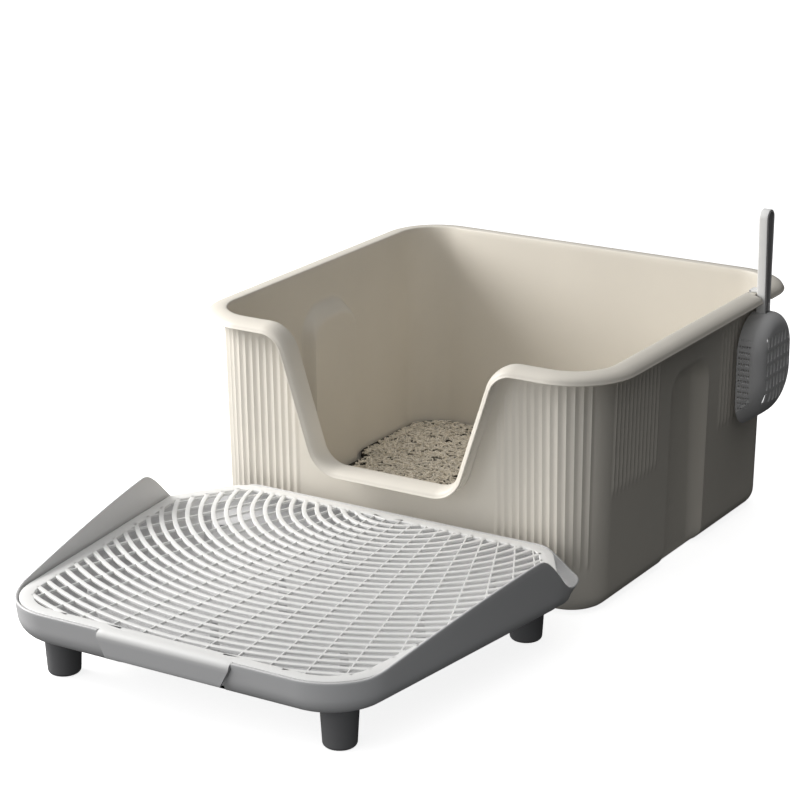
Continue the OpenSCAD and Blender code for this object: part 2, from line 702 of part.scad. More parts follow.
module head_shell() {
    out_x = head_in + head_d;
    inner_r = head_edge_r - head_t;
    loft(concat(
        [for (i = [fillet_steps:-1:0]) let (a = 90 * i / fillet_steps)
            head_ring(head_t + inner_r * (1 - cos(a)), out_x - head_t - inner_r * (1 - sin(a)))],
        [head_ring(head_t, head_in), head_ring(0, head_in)],
        [for (i = [0:fillet_steps]) let (a = 90 * i / fillet_steps)
            head_ring(head_edge_r * (1 - cos(a)), out_x - head_edge_r * (1 - sin(a)))]));
}

slot_rows = 13;
slot_row_pitch = 6.85;
slot_h = 3;
slot_row_l = 14;
base_cols = 7;
base_rows = 5;
base_slot = [4.2, 13];
base_pitch = [9.4, 16.7];
first_row_z = head_foot + 26;
module slot_prism(len, wide) {
    hull() for (e = [-1, 1]) translate([0, 0, e * (len - wide) / 2])
        rotate([0, 90, 0]) cylinder(d = wide, h = 3 * head_t, $fn = 6, center = true);
}
module head_slots() {
    // Vertical slots through the broad face
    for (i = [0:base_cols - 1], j = [0:base_rows - 1])
        translate([head_in + head_d, scoop_y + (i - (base_cols - 1) / 2) * base_pitch.x,
                   first_row_z + 12 + j * base_pitch.y])
            slot_prism(base_slot.y, base_slot.x);
    // Rows of slots through both side walls
    for (j = [0:slot_rows - 1], side = [-1, 1])
        translate([head_in + 2 + slot_row_l / 2, scoop_y + side * head_w / 2,
                   first_row_z + j * slot_row_pitch])
            cube([slot_row_l, 4.5 * head_t, slot_h], center = true);
}

socket_w = tongue_w + 2 * hook_gap;
module head_boss() {
    // Block inside the head's shoulder that takes the handle's tongue
    hull() {
        translate([handle_mid - tongue_t / 2 - hook_gap - head_t, scoop_y - socket_w / 2 - head_t,
                   head_top - socket_l - head_t])
            cube([tongue_t + 2 * (hook_gap + head_t), socket_w + 2 * head_t, socket_l + head_t]);
        translate([handle_mid - tongue_t / 2 - hook_gap, scoop_y - socket_w / 2, head_top - socket_l - 10])
            cube([tongue_t, socket_w, 2]);
    }
}

module scoop_head() {
    color(light_grey) difference() {
        union() {
            head_shell();
            head_boss();
        }
        head_slots();
        translate([handle_mid - tongue_t / 2 - hook_gap / 2, scoop_y - tongue_w / 2 - hook_gap / 2,
                   head_top - socket_l])
            cube([tongue_t + hook_gap, tongue_w + hook_gap, socket_l + over]);
    }
}

module handle_puck(w, z) {
    translate([handle_in, scoop_y, z]) rotate([0, 90, 0]) {
        translate([0, 0, 1.5]) cylinder(d = w, h = handle_t - 3, $fn = 32);
        cylinder(d = w - 3, h = handle_t, $fn = 32);
    }
}

module scoop_handle() {
    top_z = pan_h + handle_up;
    color(white) union() {
        intersection() {
            hull() {
                handle_puck(handle_w, top_z - handle_w / 2);
                handle_puck(handle_foot_w, head_top);
            }
            translate([handle_in - over, scoop_y - handle_w, head_top])
                cube([handle_t + 2 * over, 2 * handle_w, top_z]);
        }
        translate([handle_mid - tongue_t / 2, scoop_y - tongue_w / 2, head_top - socket_l + hook_gap])
            cube([tongue_t, tongue_w, socket_l]);
        // Hook over the bar of the rim
        translate([hook_in, scoop_y - hook_w / 2, pan_h + hook_seat])
            cube([handle_in - hook_in + over, hook_w, hook_t]);
        translate([hook_in, scoop_y - hook_w / 2, pan_h - hook_drop])
            cube([hook_t, hook_w, hook_drop + hook_seat + hook_t]);
    }
}

litter_pan();
litter();
step_tray();
step_grille();
front_left_foot();
front_right_foot();
rear_left_foot();
rear_right_foot();
scoop_head();
scoop_handle();
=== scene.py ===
import math
import bmesh
import bpy
import numpy as np
from mathutils import Matrix, Vector


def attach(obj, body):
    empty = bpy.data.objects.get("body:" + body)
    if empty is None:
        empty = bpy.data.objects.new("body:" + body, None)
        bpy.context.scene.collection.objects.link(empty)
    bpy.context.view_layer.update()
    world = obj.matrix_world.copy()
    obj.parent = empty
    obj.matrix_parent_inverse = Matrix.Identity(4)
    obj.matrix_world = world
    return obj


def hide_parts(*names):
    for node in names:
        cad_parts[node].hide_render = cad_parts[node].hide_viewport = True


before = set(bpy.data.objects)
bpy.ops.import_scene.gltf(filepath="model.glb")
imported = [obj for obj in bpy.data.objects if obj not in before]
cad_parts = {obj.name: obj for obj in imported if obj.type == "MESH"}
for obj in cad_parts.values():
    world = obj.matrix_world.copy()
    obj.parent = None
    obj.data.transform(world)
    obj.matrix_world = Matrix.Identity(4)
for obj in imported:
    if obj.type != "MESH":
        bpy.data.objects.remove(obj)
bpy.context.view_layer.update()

# Everything below is worked out in millimetres, from the sizes of the part, and made in metres.
MM = 0.001
RNG = np.random.default_rng(7)


# ---------- small tools ----------

def smooth(t):
    t = np.clip(t, 0.0, 1.0)
    return t * t * (3 - 2 * t)


def lerp(a, b, t):
    return a + (b - a) * t


def steps(a, b, n):
    """n steps from a, without b."""
    return list(np.linspace(a, b, n, endpoint=False))


def catmull(points, n):
    """A smooth path through the points, n steps from one to the next."""
    p = np.array(points, float)
    p = np.vstack([2 * p[0] - p[1], p, 2 * p[-1] - p[-2]])
    out = []
    for i in range(1, len(p) - 2):
        for t in steps(0, 1, n):
            a, b, c, d = p[i - 1:i + 3]
            out.append(0.5 * (2 * b + (c - a) * t + (2 * a - 5 * b + 4 * c - d) * t * t
                              + (3 * b - 3 * c + d - a) * t ** 3))
    out.append(p[-2])
    return np.array(out)


def round_outline(corners, n):
    """Counter-clockwise outline with round corners, from corners given as (x, y, radius)."""
    c = np.array(corners, float)
    out = []
    for i in range(len(c)):
        p, q, s, r = c[i - 1, :2], c[i, :2], c[(i + 1) % len(c), :2], c[i, 2]
        u, v = (p - q) / np.linalg.norm(p - q), (s - q) / np.linalg.norm(s - q)
        half = math.acos(np.clip(u @ v, -1, 1)) / 2
        mid = q + (u + v) / np.linalg.norm(u + v) * r / math.sin(half)
        m, k = q + u * r / math.tan(half) - mid, q + v * r / math.tan(half) - mid
        a = math.atan2(m[1], m[0])
        sweep = (math.atan2(k[1], k[0]) - a + math.pi) % (2 * math.pi) - math.pi
        for t in np.linspace(0, 1, n + 1):
            out.append(mid + r * np.array([math.cos(a + sweep * t), math.sin(a + sweep * t)]))
    return np.array(out)


def outline_normals(o):
    t = np.roll(o, -1, axis=0) - np.roll(o, 1, axis=0)
    t /= np.linalg.norm(t, axis=1)[:, None]
    return np.stack([t[:, 1], -t[:, 0]], axis=1)


def shrink(o, by):
    return o - outline_normals(o) * by


def make(name, verts, faces, angle=35):
    mesh = bpy.data.meshes.new(name)
    mesh.from_pydata((np.asarray(verts, float) * MM).tolist(), [], faces)
    mesh.validate()
    obj = bpy.data.objects.new(name, mesh)
    bpy.context.scene.collection.objects.link(obj)
    shade(obj, angle)
    return obj


def shade(obj, angle=35):
    obj.data.shade_smooth()
    obj.data.set_sharp_from_angle(angle=math.radians(angle))


def loft(rings):
    """Vertices and faces of a closed surface through rings of equal count."""
    r = np.asarray(rings, float)
    k, n = r.shape[:2]
    j = np.arange(n)
    faces = []
    for i in range(k - 1):
        a, b = i * n + j, i * n + (j + 1) % n
        faces += np.stack([a, b, b + n, a + n], axis=1).tolist()
    faces.append(list(range(n))[::-1])
    faces.append([(k - 1) * n + i for i in range(n)])
    return r.reshape(-1, 3), faces


def band(n, k, rows):
    """Faces round rows of the n rings of k points; with rows = n the last ring joins the first."""
    return [[i * k + j, i * k + (j + 1) % k, (i + 1) % n * k + (j + 1) % k, (i + 1) % n * k + j]
            for i in range(rows) for j in range(k)]


def joined(parts):
    verts, faces, base = [], [], 0
    for v, f in parts:
        verts.append(np.asarray(v, float))
        faces += [[i + base for i in face] for face in f]
        base += len(v)
    return np.vstack(verts), faces


def facing_out(obj):
    bm = bmesh.new()
    bm.from_mesh(obj.data)
    bmesh.ops.recalc_face_normals(bm, faces=bm.faces)
    bm.to_mesh(obj.data)
    bm.free()


def round_box(x0, y0, x1, y1, r, n):
    """Outline of a rectangle with round corners."""
    return round_outline([(x0, y0, r), (x1, y0, r), (x1, y1, r), (x0, y1, r)], n)


def block(lo, hi, r):
    """A box, in plan with round corners of radius r."""
    (x0, y0, z0), (x1, y1, z1) = lo, hi
    return loft([[(*p, z) for p in round_box(x0, y0, x1, y1, r, 5)] for z in (z0, z1)])


def cut(obj, tools, how="DIFFERENCE"):
    """Applies a boolean with the tools' mesh, and takes the tools away."""
    tool = make("tool", *joined(tools))
    facing_out(obj)
    facing_out(tool)
    mod = obj.modifiers.new("cut", "BOOLEAN")
    mod.operation, mod.object, mod.solver = how, tool, "MANIFOLD"
    graph = bpy.context.evaluated_depsgraph_get()
    mesh = bpy.data.meshes.new_from_object(obj.evaluated_get(graph))
    obj.modifiers.clear()
    old = obj.data
    obj.data = mesh
    bpy.data.meshes.remove(old)
    bpy.data.objects.remove(tool)
    shade(obj)


def place(obj, body, material, slot, *nodes):
    obj.data.materials.clear()
    obj.data.materials.append(material)
    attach(obj, body)
    if nodes:
        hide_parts(*nodes)


# ---------- materials ----------

def plastic(name, colour, rough, grain=0.02, mottle=0.03, low=None):
    """Moulded plastic: a slightly uneven colour, a fine moulded grain, and gloss that varies a little.

    low gives the colour lower down, used to paint shade, and the heights in metres between which it turns."""
    mat = bpy.data.materials.new(name)
    mat.use_nodes = True
    nt = mat.node_tree
    bsdf = nt.nodes["Principled BSDF"]
    bsdf.inputs["Specular IOR Level"].default_value = 0.45
    where = nt.nodes.new("ShaderNodeTexCoord")

    def noise(scale, detail):
        n = nt.nodes.new("ShaderNodeTexNoise")
        n.inputs["Scale"].default_value = scale
        n.inputs["Detail"].default_value = detail
        nt.links.new(where.outputs["Object"], n.inputs["Vector"])
        return n.outputs["Fac"]

    def spread(source, lo, hi, start=0.3, end=0.7):
        m = nt.nodes.new("ShaderNodeMapRange")
        m.inputs["From Min"].default_value = start
        m.inputs["From Max"].default_value = end
        m.inputs["To Min"].default_value = lo
        m.inputs["To Max"].default_value = hi
        nt.links.new(source, m.inputs["Value"])
        return m.outputs["Result"]

    ramp = nt.nodes.new("ShaderNodeValToRGB")
    ramp.color_ramp.elements[0].position = 0.3
    ramp.color_ramp.elements[1].position = 0.7
    ramp.color_ramp.elements[0].color = (*[c * (1 - mottle) for c in colour], 1)
    ramp.color_ramp.elements[1].color = (*[min(1, c * (1 + mottle)) for c in colour], 1)
    nt.links.new(noise(6.0, 4), ramp.inputs["Fac"])
    tone = ramp.outputs["Color"]
    # Painted shade: below the given heights the colour turns to the low colour
    if low:
        split = nt.nodes.new("ShaderNodeSeparateXYZ")
        nt.links.new(where.outputs["Object"], split.inputs[0])
        mix = nt.nodes.new("ShaderNodeMixRGB")
        mix.inputs["Color1"].default_value = (*low[0], 1)
        nt.links.new(spread(split.outputs["Z"], 0, 1, low[1], low[2]), mix.inputs["Fac"])
        nt.links.new(tone, mix.inputs["Color2"])
        tone = mix.outputs["Color"]
    nt.links.new(tone, bsdf.inputs["Base Color"])
    nt.links.new(spread(noise(35.0, 5), rough - 0.05, rough + 0.07), bsdf.inputs["Roughness"])
    bump = nt.nodes.new("ShaderNodeBump")
    bump.inputs["Strength"].default_value = grain
    bump.inputs["Distance"].default_value = 0.0005
    nt.links.new(noise(1400.0, 2), bump.inputs["Height"])
    nt.links.new(bump.outputs["Normal"], bsdf.inputs["Normal"])
    return mat


def granules(name, light, dark):
    """Pressed litter: each pellet a little lighter or darker, with a coarse dull surface; in dark colours, the
    painted shade under the pellets.
    """
    mat = bpy.data.materials.new(name)
    mat.use_nodes = True
    nt = mat.node_tree
    bsdf = nt.nodes["Principled BSDF"]
    bsdf.inputs["Roughness"].default_value = 0.85
    bsdf.inputs["Specular IOR Level"].default_value = 0.2
    where = nt.nodes.new("ShaderNodeTexCoord")
    n = nt.nodes.new("ShaderNodeTexNoise")
    n.inputs["Scale"].default_value = 160.0
    n.inputs["Detail"].default_value = 3
    ramp = nt.nodes.new("ShaderNodeValToRGB")
    ramp.color_ramp.elements[0].position = 0.35
    ramp.color_ramp.elements[1].position = 0.65
    ramp.color_ramp.elements[0].color = (*dark, 1)
    ramp.color_ramp.elements[1].color = (*light, 1)
    fine = nt.nodes.new("ShaderNodeTexNoise")
    fine.inputs["Scale"].default_value = 1800.0
    bump = nt.nodes.new("ShaderNodeBump")
    bump.inputs["Strength"].default_value = 0.4
    bump.inputs["Distance"].default_value = 0.0004
    nt.links.new(where.outputs["Object"], n.inputs["Vector"])
    nt.links.new(where.outputs["Object"], fine.inputs["Vector"])
    nt.links.new(n.outputs["Fac"], ramp.inputs["Fac"])
    nt.links.new(ramp.outputs["Color"], bsdf.inputs["Base Color"])
    nt.links.new(fine.outputs["Fac"], bump.inputs["Height"])
    nt.links.new(bump.outputs["Normal"], bsdf.inputs["Normal"])
    return mat


BEIGE = plastic("pan_plastic", (0.80, 0.757, 0.675), 0.38)
TRAY = plastic("tray_plastic", (0.70, 0.70, 0.705), 0.40)
WHITE = plastic("grille_plastic", (0.86, 0.86, 0.85), 0.40)
# The tab is white and painted grey below its fold: painted shade on its lower face
TAB_PAINTED_SHADE = plastic("tab_plastic_painted_shade", (0.86, 0.86, 0.85), 0.40, low=((0.62, 0.62, 0.625), 0.076, 0.085))
HEAD = plastic("scoop_plastic", (0.66, 0.66, 0.665), 0.38)
# Painted highlight for the faces that the slots cut
SLOT_PAINTED_HIGHLIGHT = plastic("slot_painted_highlight", (0.92, 0.92, 0.92), 0.5)
HANDLE = plastic("handle_plastic", (0.90, 0.90, 0.89), 0.38)
# Painted shade: the handle's outer face, which lies in shadow, painted dark grey
HANDLE_PAINTED_SHADE = plastic("handle_painted_shade", (0.36, 0.36, 0.365), 0.45)
RUBBER = plastic("foot_rubber", (0.19, 0.19, 0.195), 0.6, grain=0.15, mottle=0.1)
PELLET = granules("pellets", (0.97, 0.90, 0.78), (0.74, 0.68, 0.57))
# Painted shade: a near-black colour for the shadow in the gaps between pellets
SHADOW = granules("litter_bed", (0.07, 0.063, 0.052), (0.03, 0.027, 0.022))


# ---------- pan ----------

HALF_W, HALF_D, HIGH, WALL, CORNER, DRAFT, BASE_R = 246.5, 235.0, 280.0, 3.0, 50.0, 6.0, 20.0
LIP_W, LIP_H, LIP_T, BEAD = 24.0, 10.0, 3.0, 0.9
SILL, SILL_X, LEAN, SILL_R, TOP_R = 126.0, 83.5, math.radians(18), 30.0, 38.0
# Flutes: pitch and height, their feet in front and at the sides, how many a side wall has from each
# corner, and where they stop and start again round a corner, in degrees from its front or rear
PITCH, FLUTE = 9.3, 1.2
FLUTE_FOOT, FLUTE_SIDE_FOOT = 50.0, 128.0
FLUTES_SIDE, FLUTE_STOP, FLUTE_RESTART, FLUTE_DEGREES = 11.5, 55, 85, 10.0
FLUTE_BARE = (FLUTE_STOP + FLUTE_RESTART) / 2
# Recess: half width, top, radius of its upper corners and place of its plane, outside and inside
RECESS, RECESS_BACK = (49, 234, 32, 231.5), (52, 237, 40, 228.5)
# Width of the recess's sloping edge, outside and inside
RECESS_EDGE, RECESS_BACK_EDGE = 18, 7.5
# The crown: how much wider its arch is than the recess, its share of the depth at the top, and its run
CROWN_GROW, CROWN_START, CROWN_RUN = 18, 0.12, 24
# Heights of the rings of the wall, outside from the foot up and inside from the rim down
OUTER_LEVELS = [30, 40, 48, 52, 56, 60, 64, 72, 86, 102, 118, 126, 131, 136, 141, 146, 158, 172, 186, 196, 201,
                *np.arange(235.5, 204, -1.5)[::-1], 237, 240, 245, 251, 257, 261, 264.5, 268]
INNER_LEVELS = [271, 262, 252, 244, 240, *np.arange(238, 204, -2), 200, 190, 165, 135, 100, 65, 40]
LIP_FOOT = LIP_T + 5
FLANK = math.pi / 2 - LEAN
SILL_ARC = SILL_X - SILL_R * (1 - math.sin(LEAN)) / math.cos(LEAN)
SHOULDER = SILL_X + (TOP_R + (HIGH - SILL - TOP_R) * math.sin(LEAN)) / math.cos(LEAN)
CX, CY = HALF_W - CORNER, HALF_D - CORNER
FINE = PITCH / 10


def entry_half():
    """Right half of the entry's edge from the middle out: x, z, into-wall x, into-wall z."""
    e = [(x, SILL, 0, -1) for x in steps(0, SILL_ARC, 12)]
    for a in np.linspace(0, FLANK, 22):
        e.append((SILL_ARC + SILL_R * math.sin(a), SILL + SILL_R * (1 - math.cos(a)),
                  math.sin(a), -math.cos(a)))
    low = e[-1]
    high = (SHOULDER - TOP_R * math.sin(FLANK), HIGH - TOP_R * (1 - math.cos(FLANK)))
    for t in np.linspace(0, 1, 20)[1:-1]:
        e.append((lerp(low[0], high[0], t), lerp(low[1], high[1], t), low[2], low[3]))
    for a in np.linspace(FLANK, 0, 42):
        e.append((SHOULDER - TOP_R * math.sin(a), HIGH - TOP_R * (1 - math.cos(a)),
                  math.sin(a), -math.cos(a)))
    return e + [(x, HIGH, 0, -1) for x in np.arange(CX - FINE, SHOULDER + FINE / 2, -FINE)[::-1]]


def stations():
    """Places along the rim: x, y, z, outward x and y, and the into-wall direction along the rim and in z."""
    e = entry_half()
    out = [(-x, -HALF_D, z, 0, -1, -nt, nz) for x, z, nt, nz in e[:0:-1]]
    out += [(x, -HALF_D, z, 0, -1, nt, nz) for x, z, nt, nz in e]

    def corner(sx, sy, a0):
        for a in np.radians(np.linspace(a0, a0 + 90, 91)):
            out.append((sx * CX + CORNER * math.cos(a), sy * CY + CORNER * math.sin(a), HIGH,
                        math.cos(a), math.sin(a), 0, -1))

    def run(places, outward):
        out.extend((x, y, HIGH, *outward, 0, -1) for x, y in places)

    ribs, rear_ribs = 14 * PITCH, 8 * PITCH
    side = np.concatenate([np.arange(-CY + FINE, -CY + ribs, FINE), np.linspace(-CY + ribs, CY - ribs, 100),
                           np.arange(CY - ribs + FINE, CY - FINE / 2, FINE)])
    rear = np.concatenate([np.arange(CX - FINE, CX - rear_ribs, -FINE),
                           np.linspace(CX - rear_ribs, -CX + rear_ribs, 36),
                           np.arange(-CX + rear_ribs - FINE, -CX + FINE / 2, -FINE)])
    corner(1, -1, -90)
    run([(HALF_W, y) for y in side], (1, 0))
    corner(1, 1, 0)
    run([(x, HALF_D) for x in rear], (0, 1))
    corner(-1, 1, 90)
    run([(-HALF_W, y) for y in side[::-1]], (-1, 0))
    corner(-1, -1, 180)
    return np.array(out)


ST = stations()
TOP_Z = ST[:, 2] + ST[:, 6] * LIP_FOOT


def rim_points(out, down):
    return np.stack([ST[:, 0] + ST[:, 3] * out - ST[:, 4] * ST[:, 5] * down,
                     ST[:, 1] + ST[:, 4] * out + ST[:, 3] * ST[:, 5] * down,
                     ST[:, 2] + ST[:, 6] * down], axis=1)


def wall_points(out, down, z):
    p = rim_points(out, down)
    p[:, 2] = z
    return p


def lean_at(z):
    return DRAFT * (HIGH - z) / HIGH


def edge_z(x):
    """Height of the rim over a place x along the front."""
    ax = np.abs(x)
    foot = SHOULDER - TOP_R * math.cos(LEAN)
    arc = HIGH - TOP_R + np.sqrt(np.clip(TOP_R ** 2 - (SHOULDER - ax) ** 2, 0, None))
    return np.where(ax >= SHOULDER, HIGH, np.where(ax >= foot, arc, np.where(
        ax >= SILL_X, SILL + (ax - SILL_X) / math.tan(LEAN), SILL)))


def flute_height(p, z):
    """How far the flutes stand out at the wall points p."""
    x, y = p[:, 0], p[:, 1]
    ox, oy = ST[:, 3], ST[:, 4]
    front, side = np.abs(oy) > 0.9999, np.abs(ox) > 0.9999
    start = SHOULDER - TOP_R
    reach = CX - math.floor((CX - start) / PITCH) * PITCH - PITCH / 2
    ang = np.degrees(np.arctan2(np.abs(ox), np.abs(oy)))
    phase = np.where(front, (CX - np.abs(x)) / PITCH,
                     np.where(side, (CY - np.abs(y)) / PITCH, ang / FLUTE_DEGREES))
    # Shallow scallops that meet in narrow crests
    wave = (1 - 2 * np.abs(phase - np.round(phase))) ** 1.6
    on = np.where(front, smooth((np.abs(x) - reach) / 3 + 0.5),
                  np.where(side, smooth((np.abs(y) - (CY - FLUTES_SIDE * PITCH)) / 3 + 0.5),
                           np.where(ang < FLUTE_BARE, smooth((FLUTE_STOP - ang) / 3 + 0.5),
                                    smooth((ang - FLUTE_RESTART) / 3 + 0.5))))
    low = np.where(side | (ang > FLUTE_BARE), FLUTE_SIDE_FOOT, FLUTE_FOOT)
    high = np.full(len(x), HIGH - LIP_FOOT - 5)
    is_front = oy < -0.9999
    high = np.where(is_front, np.minimum(high, edge_z(np.abs(x) - LIP_FOOT - 4) - LIP_FOOT - 9), high)
    fade = smooth((z - low) / 10) * smooth((high - z) / 7)
    return FLUTE * wave * on * fade


def arch(y, z, half, top, r):
    """Distance inside an arch that is open at the foot."""
    qx, qz = np.abs(y) - (half - r), z - (top - r)
    d = np.hypot(np.maximum(qx, 0), np.maximum(qz, 0)) + np.minimum(np.maximum(qx, qz), 0) - r
    return -d


def dent(p, recess, crisp=True):
    """Presses the side walls in to the recess's plane, inside its arch, with a slope below its top."""
    half, top, r, plane = recess
    side = np.abs(ST[:, 3]) > 0.9999
    t = np.clip(arch(p[:, 1], p[:, 2], half, top, r) / (RECESS_EDGE if crisp else RECESS_BACK_EDGE), 0, 1)
    edge = 1 - (1 - t) ** 2 if crisp else smooth(t)
    crown = smooth(CROWN_START + arch(p[:, 1], p[:, 2], half + CROWN_GROW, top, r + CROWN_GROW) / CROWN_RUN)
    s = np.where(side, edge * crown, 0)
    ax = np.abs(p[:, 0])
    p[:, 0] = np.sign(p[:, 0]) * (ax - np.maximum(0, ax - plane) * s)
    return p


def pan_rings():
    rings = []
    for a in np.radians(np.linspace(0, 90, 9)):
        out, z = WALL - lean_at(BASE_R) - BASE_R * (1 - math.sin(a)), BASE_R * (1 - math.cos(a))
        rings.append(dent(wall_points(out, LIP_FOOT, z), RECESS))
    for level in OUTER_LEVELS:
        z = BASE_R + (level - BASE_R) * (TOP_Z - BASE_R) / (HIGH - LIP_FOOT - BASE_R)
        base = wall_points(0, LIP_FOOT, z)
        grow = WALL - lean_at(z) + flute_height(base, z)
        base[:, 0] += ST[:, 3] * grow
        base[:, 1] += ST[:, 4] * grow
        rings.append(dent(base, RECESS))
    under = catmull([(WALL, LIP_T + 5), (WALL + 1.5, LIP_T + 2), (WALL + 5, LIP_T + 0.4),
                     (LIP_W * 0.6, LIP_T + 1), (LIP_W - LIP_T - 4, LIP_T + 3),
                     (LIP_W - LIP_T - 0.5, LIP_T + 6.2), (LIP_W - LIP_T, LIP_H - 0.3)], 2)
    over = catmull([(LIP_W + BEAD, LIP_H - 0.4), (LIP_W + BEAD, LIP_H - 1.1), (LIP_W, LIP_H * 0.76),
                    (LIP_W - 1.4, LIP_H * 0.5), (LIP_W - 4.5, LIP_H * 0.27), (LIP_W - 9.5, LIP_H * 0.1),
                    (LIP_W * 0.3, 0.0), (2.4, 0.1), (0.7, 0.6), (0, 2.0)], 3)
    section = [*under, (LIP_W - LIP_T + 0.5, LIP_H), (LIP_W + BEAD - 0.4, LIP_H), *over]
    rings += [rim_points(o, d) for o, d in section]
    for level in INNER_LEVELS:
        z = BASE_R + (level - BASE_R) * (ST[:, 2] + ST[:, 6] * 2 - BASE_R) / (HIGH - 2 - BASE_R)
        base = wall_points(0, 2, z)
        base[:, 0] -= ST[:, 3] * lean_at(z)
        base[:, 1] -= ST[:, 4] * lean_at(z)
        rings.append(dent(base, RECESS_BACK, crisp=False))
    inner = BASE_R - WALL
    for a in np.radians(np.linspace(90, 0, 8)):
        out, z = -lean_at(BASE_R) - inner * (1 - math.sin(a)), WALL + inner * (1 - math.cos(a))
        rings.append(dent(wall_points(out, 2, z), RECESS_BACK, crisp=False))
    return rings


SCOOP_Y, HANDLE_X, HOOK_X, BAR_X = 154.0, 260.0, 249.8, 253.2
HANDLE_HALF, HOOK_HALF = 10, 6.5
# Clearance round the handle and the hook, and a little play on the near side, so that the scoop slides in
GAP, PLAY = 0.8, 2.6

pan = make("pan_shell", *loft(pan_rings()))
cut(pan, [block((x0, SCOOP_Y - half - GAP - PLAY, HIGH - LIP_H - 1), (x1, SCOOP_Y + half + GAP, HIGH + 2), r)
          for x0, x1, half, r in ((HANDLE_X - GAP, HANDLE_X + 40, HANDLE_HALF, 1.2),
                                  (HOOK_X - GAP, BAR_X, HOOK_HALF, 0.8))])
place(pan, "pan", BEIGE, "pan", "litter_pan")


# ---------- litter ----------

# How far the litter's edge lies inside the pan's outer size, and how far and how wide it gives way to a recess
LITTER_IN, LITTER_PULL, PULL_HALF = 6.0, 17.0, 71.0
# Height of the litter at its edge, height of the heap, underside of the near-black sheet of painted shade, and
# its depth below the pellets
LITTER_H, LITTER_HEAP, BED_UNDER, BED_SUNK = 22.0, 12.0, 14.0, 1.6


def litter_outline():
    """The litter's edge along the walls, as angle and distance from the middle."""
    o = []
    for sx, sy, a0 in ((1, -1, -90), (1, 1, 0), (-1, 1, 90), (-1, -1, 180)):
        for a in np.radians(np.linspace(a0, a0 + 90, 12)):
            o.append((sx * CX + (CORNER - LITTER_IN) * math.cos(a),
                      sy * CY + (CORNER - LITTER_IN) * math.sin(a)))
        if sy * sx < 0:
            for y in np.linspace(-CY, CY, 61)[1:-1]:
                pull = LITTER_PULL * smooth((PULL_HALF - abs(y)) / 12)
                o.append((sx * (HALF_W - LITTER_IN - pull), sx * y))
    o = np.array(o)
    o = np.concatenate([lerp(o, np.roll(o, -1, axis=0), t) for t in steps(0, 1, 30)])
    a = np.arctan2(o[:, 1], o[:, 0])
    k = np.argsort(a)
    return a[k], np.linalg.norm(o, axis=1)[k]


EDGE_A, EDGE_R = litter_outline()


def litter_edge(a):
    return np.interp(a, EDGE_A, EDGE_R, period=2 * np.pi)


def litter_z(x, y):
    """Height of the raked litter: a low heap with gentle waves."""
    f = 1 - np.hypot(x, y) / litter_edge(np.arctan2(y, x))
    rad = np.radians
    wave = 1.6 * np.sin(rad(x * 2.1 + y)) + 1.4 * np.sin(rad(y * 2.6 - x * 0.7))
    inner, outer = np.clip(f / 0.18, 0, 1), 1 - smooth((f - 0.72) / 0.18)
    return LITTER_H + LITTER_HEAP * smooth(1.3 * f) + wave * inner * outer


def litter_bed():
    """A near-black sheet under the loose pellets: painted shade in the gaps between them."""
    a = np.linspace(-np.pi, np.pi, 180, endpoint=False)
    rings = [np.column_stack([litter_edge(a) * np.cos(a), litter_edge(a) * np.sin(a),
                              np.full(len(a), BED_UNDER)])]
    for f in np.linspace(0, 0.985, 44):
        x, y = litter_edge(a) * (1 - f) * np.cos(a), litter_edge(a) * (1 - f) * np.sin(a)
        rings.append(np.column_stack([x, y, litter_z(x, y) - BED_SUNK]))
    return loft(rings)


def pellets(count):
    """Short bent sticks lying over each other."""
    sides, rings = 5, 4
    x = RNG.uniform(-236, 236, count * 2)
    y = RNG.uniform(-226, 226, count * 2)
    room = litter_edge(np.arctan2(y, x)) - np.hypot(x, y)
    ok = room > 5.0
    x, y, room = x[ok][:count], y[ok][:count], room[ok][:count]
    n = len(x)
    length = RNG.uniform(7.0, 14.0, n) * np.clip(room / 12, 0.5, 1)
    radius = RNG.uniform(0.95, 1.35, n)
    yaw = RNG.uniform(0, 2 * np.pi, n)
    pitch = np.clip(RNG.normal(0, 0.16, n), -0.4, 0.4)
    bend = RNG.uniform(-1.3, 1.3, n)
    z = litter_z(x, y) + RNG.uniform(-1.2, 1.1, n)
    verts = []
    for i in range(rings):
        t = i / (rings - 1) - 0.5
        along = t * length
        cross = bend * (0.25 - t * t) * length * 0.5
        cx = x + np.cos(yaw) * np.cos(pitch) * along - np.sin(yaw) * cross
        cy = y + np.sin(yaw) * np.cos(pitch) * along + np.cos(yaw) * cross
        cz = z + np.sin(pitch) * along
        for j in range(sides):
            a = 2 * np.pi * j / sides
            r = radius * (0.85 if i in (0, rings - 1) else 1.0)
            verts.append(np.stack([cx - np.sin(yaw) * np.cos(a) * r, cy + np.cos(yaw) * np.cos(a) * r,
                                   cz + np.sin(a) * r], axis=1))
    v = np.stack(verts, axis=1).reshape(-1, 3)
    per = sides * rings
    local = []
    for i in range(rings - 1):
        for j in range(sides):
            a, b = i * sides + j, i * sides + (j + 1) % sides
            local.append([a, b, b + sides, a + sides])
    ends = [list(range(sides))[::-1], [(rings - 1) * sides + j for j in range(sides)]]
    base = (np.arange(n) * per)[:, None]
    faces = (np.array(local).reshape(1, -1) + base).reshape(-1, 4).tolist()
    for e in ends:
        faces += (np.array(e).reshape(1, -1) + base).tolist()
    return v, faces


# A near-black sheet under the pellets, for the shade in their gaps: painted shade
shade_sheet = make("litter_bed", *litter_bed(), angle=180)
facing_out(shade_sheet)
place(shade_sheet, "pan", SHADOW, "granules", "litter")
loose = make("litter_pellets", *pellets(12000), angle=50)
place(loose, "pan", PELLET, "granules", "litter")


# ---------- step: tray ----------

